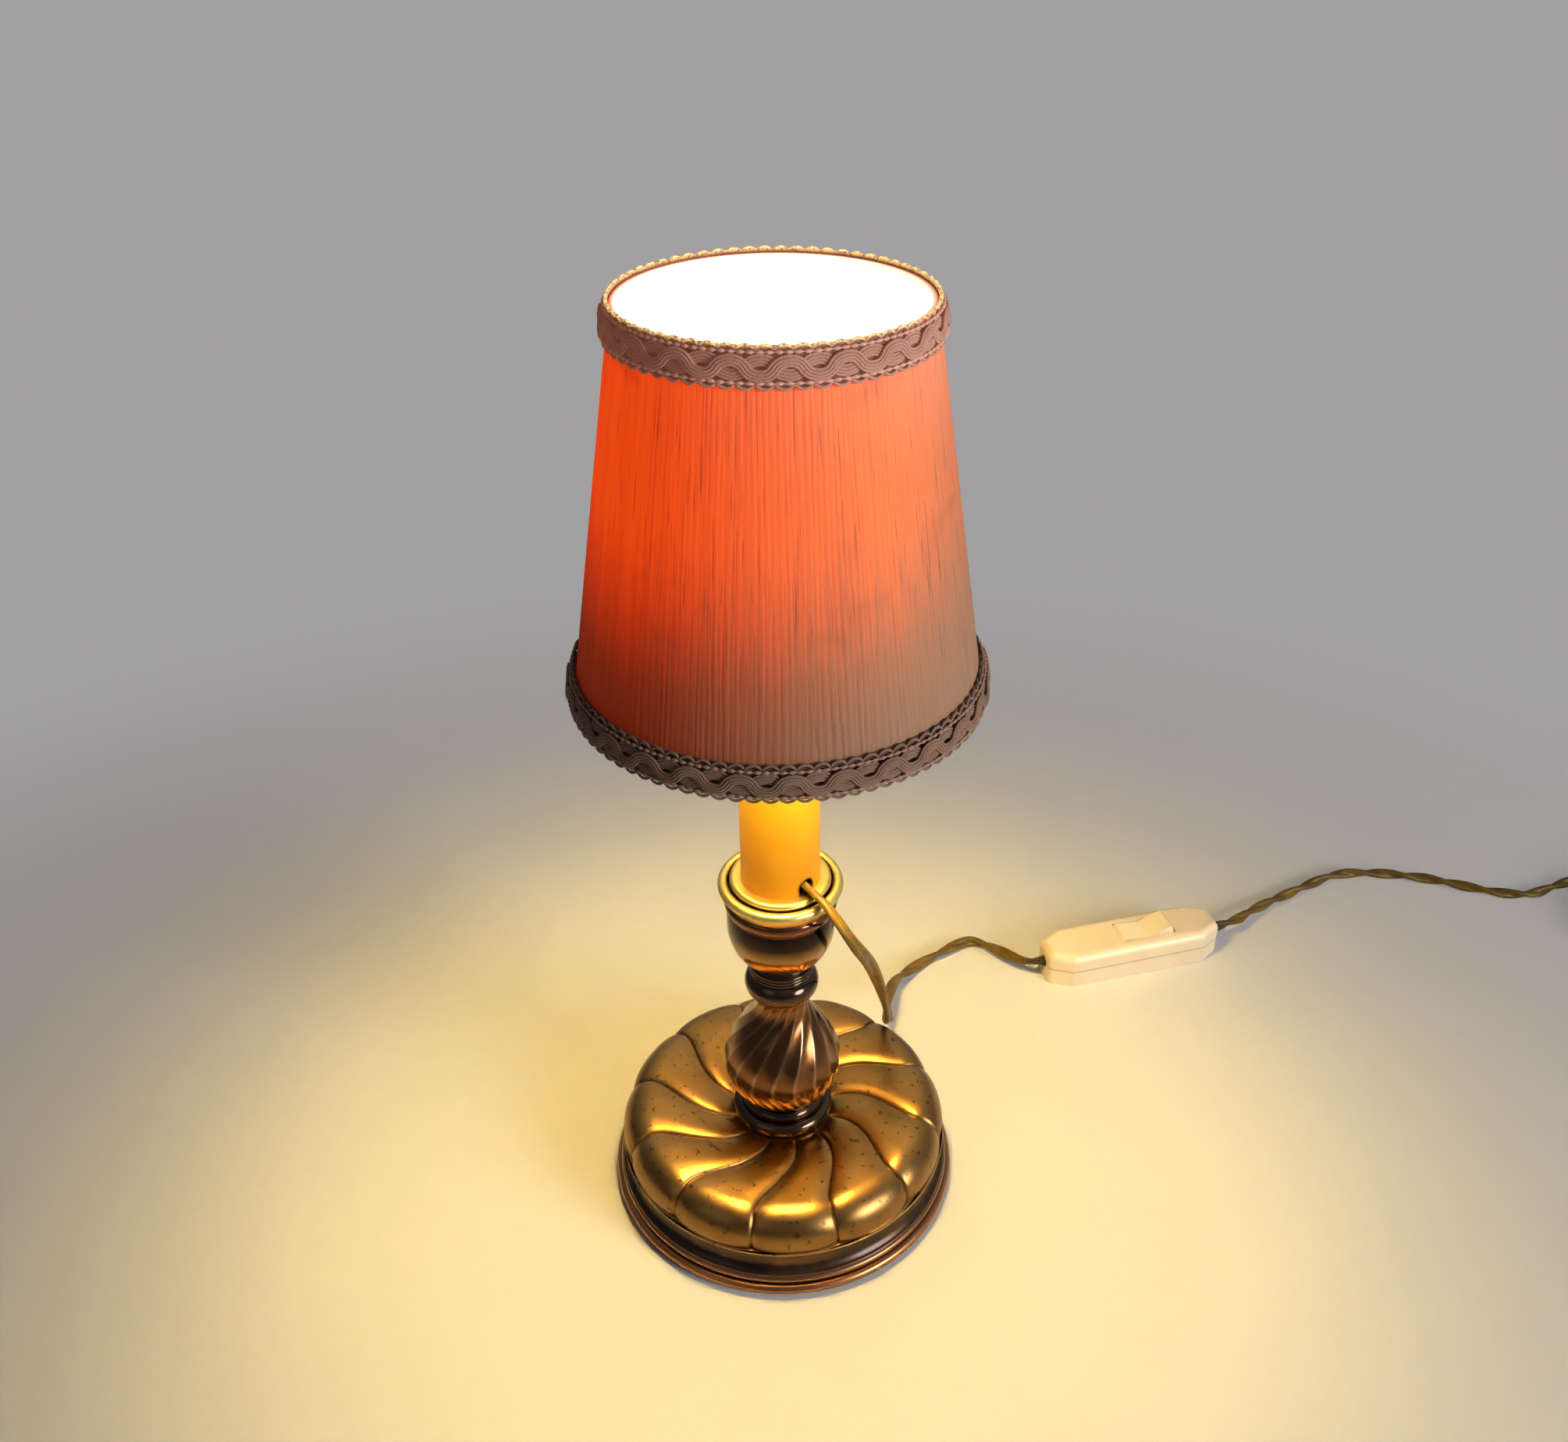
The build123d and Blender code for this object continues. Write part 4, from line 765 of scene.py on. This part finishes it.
def dome_outline():
    """Hub, slope, crest and shoulder down to a thin lip."""
    bend = (SLOPE_RUN**2 + SLOPE_SAG**2) / (2 * SLOPE_SAG)
    runs = [SLOPE_RUN * (1 - step / DOME_STEPS) for step in range(DOME_STEPS + 1)]
    slope = [(CREST_RADIUS - run, CREST_HEIGHT - bend + sqrt(bend**2 - run**2)) for run in runs]
    shoulder = []
    for step in range(1, DOME_STEPS + 1):
        angle = radians(90 - SHOULDER_SWEEP * step / DOME_STEPS)
        shoulder.append((CREST_RADIUS + SHOULDER * cos(angle), SHOULDER_HEIGHT + SHOULDER * sin(angle)))
    lip = [(56.62, 17.76), (56.82, 17.6), (56.86, 17.35), (56.75, 17.1), (56.4, 17.02)]
    return [(BORE, 17.02), (BORE, 25.6), (15.5, 25.66)] + slope + shoulder + lip


def swirl_lobes(shape):
    """Twelve swirled lobes, flat with rolled edges, and a narrow crease between neighbours."""
    hollow = shape.verts.layers.float.new("hollow")
    for corner in shape.verts:
        radius = hypot(corner.co.x, corner.co.y) / MM
        height = corner.co.z / MM
        if radius < CREASES_FROM or height < LIP_TOP:
            continue
        if radius > CREST_RADIUS:
            climb = atan2(height - SHOULDER_HEIGHT, radius - CREST_RADIUS)
            share = 0.4 * (climb / radians(115) + 25 / 115)
            way = Vector((cos(climb), sin(climb)))
        else:
            inwards = (CREST_RADIUS - radius) / SLOPE_RUN
            share = 0.4 + 0.6 * inwards
            way = Vector((-0.16 * inwards, 1)).normalized()
        turn = radians(18.5 + 25 * smooth_step((share - 0.35) / 0.65))
        whole, lobe = divmod(atan2(corner.co.y, corner.co.x) * LOBES / (2 * pi), 1)
        lobe -= 0.8 * sin(2 * pi * lobe) / (2 * pi)
        angle = (whole + lobe) * 2 * pi / LOBES + turn
        aside = min(lobe, 1 - lobe)
        gap = aside * 2 * pi * radius / LOBES
        crease = exp(-((gap / 0.55) ** 2))
        crown = (1 - 2 * aside) ** 3.4
        depth = sin(pi * (0.25 + 0.6 * share))
        fade = smooth_step((radius - CREASES_FROM) / 3.0)
        sink = -depth * (1.4 * crown + 0.4 * crease) * fade
        flat = (radius + sink * way.x) * MM
        corner.co = (flat * cos(angle), flat * sin(angle), (height + sink * way.y) * MM)
        corner[hollow] = exp(-((gap / 0.4) ** 2)) * fade


KNOP_STATIONS = [
    (0.0, 0.63), (0.06, 0.80), (0.16, 0.935), (0.31, 1.0), (0.46, 0.945),
    (0.60, 0.80), (0.72, 0.63), (0.83, 0.49), (0.92, 0.44), (1.0, 0.46),
]


def knop_radius(share):
    """The knop's radius share at a share of its height, smooth through the stations."""
    heights = [station[0] for station in KNOP_STATIONS]
    radii = [station[1] for station in KNOP_STATIONS]
    last = len(heights) - 1
    index = min(max(bisect_right(heights, share) - 1, 0), last - 1)

    def lean(spot):
        low, high = max(spot - 1, 0), min(spot + 1, last)
        return (radii[high] - radii[low]) / (heights[high] - heights[low])

    width = heights[index + 1] - heights[index]
    part = (share - heights[index]) / width
    rest = 1 - part
    return (
        rest * rest * (1 + 2 * part) * radii[index]
        + part * part * (3 - 2 * part) * radii[index + 1]
        + part * rest * rest * width * lean(index)
        - part * part * rest * width * lean(index + 1)
    )


def knop_outline():
    rows = 70
    shares = [row / rows for row in range(rows + 1)]
    side = [(KNOP_RADIUS * knop_radius(share), KNOP_FOOT + KNOP_HEIGHT * share) for share in shares]
    return [(BORE, 37.02), (11.0, 37.02)] + side + [(BORE, 80.98)]


def swirl_ribs(shape):
    """Seventeen ridges between shallow flutes, upright at the belly and swirled away from it, with a bead
    between neighbours low down."""
    rib = shape.verts.layers.float.new("rib")
    for corner in shape.verts:
        radius = hypot(corner.co.x, corner.co.y) / MM
        share = (corner.co.z / MM - KNOP_FOOT) / KNOP_HEIGHT
        if radius < KNOP_RADIUS * knop_radius(share) - 0.5:
            continue
        below = max(0.0, 1 - share / KNOP_BELLY)
        above = max(0.0, (share - KNOP_BELLY) / (1 - KNOP_BELLY))
        start = radians(-4.7 + 24 * below**2 + 60 * above**2)
        angle = atan2(corner.co.y, corner.co.x)
        place = ((angle - start) * RIDGES / (2 * pi)) % 1
        ridge = 1 - abs(2 * place - 1)
        low = smooth_step((0.33 - share) / 0.12)
        bead = max(0.0, 1 - (ridge / 0.45) ** 2)
        flat = (radius - knop_radius(share) * FLUTE_DEPTH * (1 - ridge**2 - low * bead)) * MM
        corner.co.x = flat * cos(angle)
        corner.co.y = flat * sin(angle)
        corner[rib] = max(ridge ** (4.5 - 2.5 * low), low * bead)


def collar_outline():
    outline = [(BORE, 36.98), (BORE, 25.75), (16.3, 25.75), (16.35, 26.6), (15.7, 26.8)]
    outline += arc(outline[-1], (17.2, 29.3), (15.4, 31.9), 16)
    outline += [(15.0, 32.1)]
    outline += arc(outline[-1], (12.0, 34.2), (12.9, 36.5), 12)
    return outline + [(12.8, 36.98)]


def neck_outline():
    outline = [(BORE, 81.02), (9.4, 81.02), (9.5, 81.6)]
    outline += arc(outline[-1], (12.3, 86.0), (9.6, 90.4), 20)
    outline += [(9.4, 90.7)]
    for height in (91.4, 92.6, 93.8):
        outline += arc(outline[-1], (10.6, height), (9.8, height + 0.55), 8)
    return outline + [(9.5, 94.98), (BORE, 94.98)]


def cup_outline():
    outline = [(BORE, 95.02), (9.0, 95.02), (9.3, 95.2)]
    outline += arc(outline[-1], (14.94, 101.46), (17.4, 112.0), 24)
    outline += [(17.4, 117.6), (17.25, 118.0), (17.25, 118.5), (17.5, 118.9)]
    outline += arc(outline[-1], (18.2, 120.7), (17.6, 122.3), 10)
    return outline + [(17.2, 122.48), (15.4, 122.48), (15.4, 112.0), (13.4, 104.0), (BORE, 104.0)]


def ring_outline():
    outline = [(BORE, 122.52), (17.3, 122.52), (18.0, 123.2), (18.7, 125.3)]
    outline += arc(outline[-1], (19.95, 127.2), (18.2, 128.75), 16)
    outline += arc(outline[-1], (16.75, 128.0), (16.5, 126.8), 8)
    return outline + [(16.35, 124.6), (BORE, 124.48)]


def seat_outline():
    outline = [(10.7, 129.98), (10.7, 126.5), (BORE, 126.5), (BORE, 124.52), (16.1, 124.52), (16.1, 128.7)]
    outline += arc(outline[-1], (15.75, 129.6), (14.9, 129.98), 8)
    return outline + [(13.6, 129.99)]


# The foot's bands hold painted light and shade: lighter up the flange and on the bead as painted
# highlights, dark in the notch at 4.8 mm and in the cove under the dome's lip as painted shade.
foot_bronze = banded_bronze(
    "foot_bronze", (0.24, 0.11, 0.045), 0.25,
    (1.0, (0.17, 0.070, 0.030)), (2.9, (0.29, 0.120, 0.046)), (4.2, (0.34, 0.150, 0.058)),
    (4.8, (0.070, 0.035, 0.022)), (6.3, (0.30, 0.145, 0.066)), (7.5, (0.20, 0.096, 0.046)),
    (8.7, (0.032, 0.019, 0.013)), (14.1, (0.040, 0.025, 0.018)), (16.5, (0.11, 0.063, 0.036)),
)
piece("foot", spun(foot_outline(), 220), foot_bronze, ["base_foot"])
dome = spun(dome_outline(), 480)
swirl_lobes(dome)
dome_brass = golden_brass("dome_brass", (0.43, 0.218, 0.052), (0.54, 0.292, 0.076), 0.32, 0.38, edge=0.0475)
piece("dome", dome, dome_brass, ["base_dome"])
knop = spun(knop_outline(), 340)
swirl_ribs(knop)
piece("knop", knop, knop_bronze(), ["swirl_knop"], sharp=70)
polished_bronze = dark_bronze("polished_bronze", (0.048, 0.030, 0.021), (0.100, 0.060, 0.036), 0.14)
piece("collar", spun(collar_outline()), polished_bronze, ["lower_collar"])
piece("neck", spun(neck_outline()), polished_bronze, ["neck_collar"])
# The cup's bands: near-black patina above 112.5 mm; below it, worn brass made golden-brown as a painted
# reflection of the dome, and reddish brown from 119.2 mm as a painted reflection of the ring.
cup_bronze = banded_bronze(
    "cup_bronze", (0.045, 0.026, 0.013), 0.10,
    (95.0, (0.36, 0.185, 0.060)), (101.0, (0.40, 0.205, 0.068)), (107.5, (0.30, 0.150, 0.048)),
    (112.5, (0.012, 0.007, 0.005)), (117.5, (0.008, 0.005, 0.004)), (119.2, (0.16, 0.055, 0.026)),
    (123.0, (0.20, 0.070, 0.030)),
)
piece("cup", spun(cup_outline()), cup_bronze, ["candle_cup"])
ring_brass = golden_brass("ring_brass", (0.78, 0.60, 0.16), (0.87, 0.70, 0.23), 0.36, 0.10, groove=0.0161)
piece("ring", spun(ring_outline()), ring_brass, ["drip_ring"])
piece("seat", spun(seat_outline()), ring_brass, ["sleeve_seat"])

felt = spun([(0.4, 0.02), (54.6, 0.02), (55.0, 0.3), (55.0, 0.7), (54.7, 0.98), (0.4, 0.98)], 120)
felt_disc = piece("felt_disc", felt, green_felt(), ["felt_pad"])


# Shade

BOTTOM, TOP = 202.3, 312.3
BOTTOM_RADIUS, TOP_RADIUS = 58.3, 40.7
SLOPE = (BOTTOM_RADIUS - TOP_RADIUS) / (TOP - BOTTOM)
CLOTH_PROUD = 0.3
LINING_TOP = 304.6
WAVE_RISE = 1.75
WAVE_STEPS = 24
CORD_PITCH = 0.72
LOOP_STEPS = 12


def cover_radius(height):
    """The outside of the cloth at a height, over the pleats."""
    return BOTTOM_RADIUS + CLOTH_PROUD - SLOPE * (height - BOTTOM)


def crinkled_cover():
    """The cloth on its cone, in fine uneven pleats."""
    rows = 36
    heights = [BOTTOM + (TOP - BOTTOM) * row / rows for row in range(rows + 1)]
    outside = [(cover_radius(height) - CLOTH_PROUD, height) for height in heights]
    inside = [(cover_radius(height) - 1.6, height) for height in reversed(heights[::6])]
    shape = spun(outside + inside, 1080)
    chance = Random(11)
    folds = [0.0]
    while folds[-1] < 2 * pi:
        folds.append(folds[-1] + radians(chance.uniform(0.8, 2.4)))
    folds[-1] = 2 * pi
    depths = [chance.uniform(0.1, 0.45) for fold in folds]
    sways = [chance.uniform(0, 2 * pi) for fold in folds]
    fold_share = shape.verts.layers.float.new("fold")
    backing = shape.verts.layers.float.new("inside")
    for corner in shape.verts:
        height = corner.co.z / MM
        radius = hypot(corner.co.x, corner.co.y) / MM
        angle = atan2(corner.co.y, corner.co.x) % (2 * pi)
        if radius < cover_radius(height) - 0.9:
            corner[fold_share] = 1.0
            corner[backing] = 1.0
            continue
        rise = (height - BOTTOM) / (TOP - BOTTOM)
        swayed = (angle + radians(0.35) * sin(5 * rise + 3 * sin(angle * 7))) % (2 * pi)
        index = min(bisect_right(folds, swayed) - 1, len(folds) - 2)
        part = (swayed - folds[index]) / (folds[index + 1] - folds[index])
        bulge = sqrt(max(0.0, 4 * part * (1 - part)))
        depth = depths[index] * (0.75 + 0.25 * sin(sways[index] + 6 * rise))
        flat = (radius + depth * (bulge - 0.6)) * MM
        corner.co.x = flat * cos(angle)
        corner.co.y = flat * sin(angle)
        corner[fold_share] = bulge
    return shape


cover = piece(
    "pleated_cover", crinkled_cover(), shade_cloth(), ["shade_cover"], "shade", 180
)


def lining_outline():
    ends = (BOTTOM + 0.3, LINING_TOP)
    outside = [(cover_radius(height) - 4.4, height) for height in ends]
    inside = [(cover_radius(height) - 4.8, height) for height in reversed(ends)]
    return outside + inside


lining = piece(
    "lining", spun(lining_outline(), 200), lining_paper(), ["shade_lining"], "shade"
)


def strand(shape, points, thickness, cord, beads=0):
    """Adds a round closed cord through points to a shape, plain or swelling into beads."""
    data = bpy.data.curves.new("strand", "CURVE")
    data.dimensions = "3D"
    data.bevel_depth = thickness / 2
    data.bevel_resolution = 1
    line = data.splines.new("POLY")
    line.points.add(len(points) - 1)
    for step, (point, spot) in enumerate(zip(line.points, points)):
        point.co = (*spot, 1)
        point.radius = 0.25 + 0.75 * abs(sin(pi * beads * step / len(points))) if beads else 1.0
    line.use_cyclic_u = True
    carrier = bpy.data.objects.new("strand", data)
    mesh = bpy.data.meshes.new_from_object(carrier)
    before = len(shape.verts)
    shape.from_mesh(mesh)
    shape.verts.ensure_lookup_table()
    layer = shape.verts.layers.float["cord"]
    for corner in shape.verts[before:]:
        corner[layer] = cord
    bpy.data.objects.remove(carrier)
    bpy.data.curves.remove(data)
    bpy.data.meshes.remove(mesh)


def gimp_braid(middle, waves, size, proud):
    """A scroll braid on its tape: one wave of four cords over another, with beads and small loops along
    both edges."""
    lean = 1 / hypot(1, SLOPE)

    def spot(angle, across, out):
        height = middle + across * size * lean
        radius = cover_radius(height) + out
        return (radius * MM * cos(angle), radius * MM * sin(angle), height * MM)

    tape = []
    for across, out in ((-4.9, 0.05), (-4.9, 0.25), (-3.2, 0.5), (3.2, 0.5), (4.9, 0.25), (4.9, 0.05)):
        height = middle + across * size * lean
        tape.append((cover_radius(height) + out, height))
    shape = spun(tape, 160)
    shape.verts.layers.float.new("cord")
    around = cover_radius(middle) / size
    for side in (-1, 1):
        for place in (-1.5, -0.5, 0.5, 1.5):
            points = []
            for step in range(WAVE_STEPS * waves):
                phase = 2 * pi * step / WAVE_STEPS
                along = (phase - 0.22 * sin(2 * phase)) / waves
                pace = around * (1 - 0.44 * cos(2 * phase)) / waves
                rise = side * WAVE_RISE * cos(phase)
                length = hypot(pace, rise)
                aside = place * CORD_PITCH
                across = side * WAVE_RISE * sin(phase) + aside * pace / length
                out = proud + 0.4 * side + 0.1 * side * cos(phase) + (0.14 if abs(place) < 1 else 0.0)
                points.append(spot(along - aside * rise / length / around, across, out))
            strand(shape, points, 0.78 * size * MM, 0.5)
    loops = 3 * waves
    steps = LOOP_STEPS * loops
    angles = [2 * pi * step / steps for step in range(steps)]
    for side in (-1, 1):
        points = []
        for step, angle in enumerate(angles):
            across = side * (3.8 + 1.3 * abs(sin(pi * step / LOOP_STEPS)) ** 0.7)
            points.append(spot(angle, across, proud - 0.65))
        strand(shape, points, 0.8 * size * MM, 0.55)
        points = [spot(angle, side * 3.55, proud - 0.15) for angle in angles]
        strand(shape, points, size * MM, 1.0, 2 * loops)
    return shape


# One braid yarn in two copies: the top one paler and glowing with painted light, the bottom one darker.
bottom_yarn = braid_yarn("bottom_yarn", (0.20, 0.105, 0.062), (0.26, 0.145, 0.092), (0.002, 0.0, 0.0))
top_yarn = braid_yarn(
    "top_yarn", (0.43, 0.232, 0.17), (0.52, 0.285, 0.215), (0.085, 0.024, 0.013), rim=0.3125
)
bottom_braid = gimp_braid(206.15, 28, 1.0, 1.6)
piece("bottom_braid", bottom_braid, bottom_yarn, ["bottom_trim"], "shade", 180)
top_braid = gimp_braid(308.7, 20, 0.98, 1.3)
piece("top_braid", top_braid, top_yarn, ["top_trim"], "shade", 180)


# Finishes of the carried-over CAD nodes

node_finishes = {
    plated("zinc", (0.55, 0.55, 0.53), 0.3): [
        "base_washer", "base_nut", "stem_rod", "holder_bracket", "holder_screw", "bulb_clip",
        "tilt_rivet", "rocker_pin", "case_screws",
    ],
    plated("raw_iron", (0.16, 0.16, 0.16), 0.55): ["base_weight"],
    plated("stamped_brass", (0.66, 0.50, 0.22), 0.28): [
        "clamp_nut", "holder_thread", "centre_contact", "terminal_screws", "contact_bridge",
        "switch_terminals", "switch_terminal_screws",
    ],
    plated("bulb_nickel", (0.72, 0.70, 0.66), 0.25): ["bulb_cap", "bulb_contact"],
    plated("pin_plating", (0.78, 0.74, 0.66), 0.22): ["plug_pins"],
    candle_ivory(): ["candle_sleeve"],
    moulded("holder_black", (0.035, 0.033, 0.032), 0.4): ["holder_body", "cap_insulator"],
    moulded("core_sleeve", (0.40, 0.26, 0.12), 0.45): ["holder_cores"],
    lit_opal(): ["bulb_glass"],
    plated("filament_wire", (0.5, 0.5, 0.5), 0.4): ["bulb_filament"],
    moulded("white_lacquer", (0.88, 0.86, 0.82), 0.35): ["shade_bottom_ring", "shade_struts"],
    # painted light: the top ring and carrier glow as if flooded by the bulb, a lit copy of the white
    # lacquer
    moulded("flooded_lacquer", (0.88, 0.86, 0.82), 0.35, glow=1.6): ["shade_top_ring", "shade_carrier"],
    moulded("switch_ivory", (0.75, 0.62, 0.44), 0.32, 0.08, seam=0.0075): ["switch_base", "switch_cover"],
    moulded("rocker_ivory", (0.84, 0.73, 0.53), 0.28, 0.05): ["switch_rocker"],
    moulded("strap", (0.06, 0.06, 0.06), 0.55): ["coil_tie"],
    moulded("plug_ivory", (0.80, 0.72, 0.57), 0.38, 0.10): ["plug_body", "plug_relief"],
}
for finish, names in node_finishes.items():
    for name in names:
        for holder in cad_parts[name].material_slots:
            holder.material = finish.material


# Floor, light and background

FLOOR_HALF = 8
FLOOR_DROP = 0.0002
FADE_SHIFT = 0.22
FADE_FROM, FADE_TO = 0.22, 0.72
WINDOW_WAY = (0.75, 0.60, 0.28)


def pale_floor():
    """A plain pale floor that fades into the background away from the lamp."""
    stone = Finish("pale_floor")
    x, y = stone.axes()[:2]
    cloud = stone.noise(3.0, 3)
    near = stone.node(
        "ShaderNodeBsdfPrincipled",
        None,
        {
            "Base Color": stone.blend(cloud, (0.71, 0.685, 0.645), (0.67, 0.645, 0.61)),
            "Roughness": 0.85 + 0.05 * cloud,
        },
    )
    far = stone.node("ShaderNodeEmission", None, {"Color": (0.36, 0.35, 0.355)})
    seen = stone.rays()[0]
    ahead = y + FADE_SHIFT
    away = stone.span((x * x + ahead * ahead) ** 0.5, FADE_FROM, FADE_TO) * seen
    stone.node_to_output(stone.node("ShaderNodeMixShader", None, {0: away, 1: near, 2: far}))
    shape = bmesh.new()
    bmesh.ops.create_grid(shape, x_segments=1, y_segments=1, size=FLOOR_HALF)
    bmesh.ops.translate(shape, verts=shape.verts, vec=(0, 0, -FLOOR_DROP))
    mesh = bpy.data.meshes.new("floor")
    shape.to_mesh(mesh)
    shape.free()
    mesh.materials.append(stone.material)
    floor = bpy.data.objects.new("floor", mesh)
    scene.collection.objects.link(floor)


def soft_lamp(name, spot, aim, size, watts, colour):
    data = bpy.data.lights.new(name, "AREA")
    data.shape = "DISK"
    data.size = size
    data.energy = watts
    data.color = colour
    lamp = bpy.data.objects.new(name, data)
    lamp.location = spot
    lamp.rotation_euler = (Vector(aim) - Vector(spot)).to_track_quat("-Z", "Y").to_euler()
    scene.collection.objects.link(lamp)


def pale_world():
    """A pale background, mirrored brighter from the window side than from the room."""
    sky = Finish("pale_world", "worlds")
    seen, mirrored = sky.rays()
    way = sky.node("ShaderNodeTexCoord", out="Generated")
    ways = {0: way, 1: WINDOW_WAY}
    side = sky.node("ShaderNodeVectorMath", {"operation": "DOT_PRODUCT"}, ways, "Value")
    share = 0.06 + 0.30 * seen + mirrored * sky.span(side, -0.6, 0.7, 0.07, 0.36)
    pale = sky.blend(share, (0.0, 0.0, 0.0), (0.98, 0.98, 1.0))
    light = sky.node("ShaderNodeBackground", None, {"Color": pale, "Strength": 1.0})
    sky.node_to_output(light, "ShaderNodeOutputWorld")
    scene.world = sky.material


pale_floor()
pale_world()
soft_lamp("window_side", (1.18, -0.85, 0.62), (0, 0, 0.16), 0.7, 20.0, (1.0, 0.99, 0.98))
soft_lamp("fill_side", (-1.0, -1.1, 1.1), (0, 0, 0.15), 1.0, 1.0, (1.0, 0.92, 0.84))
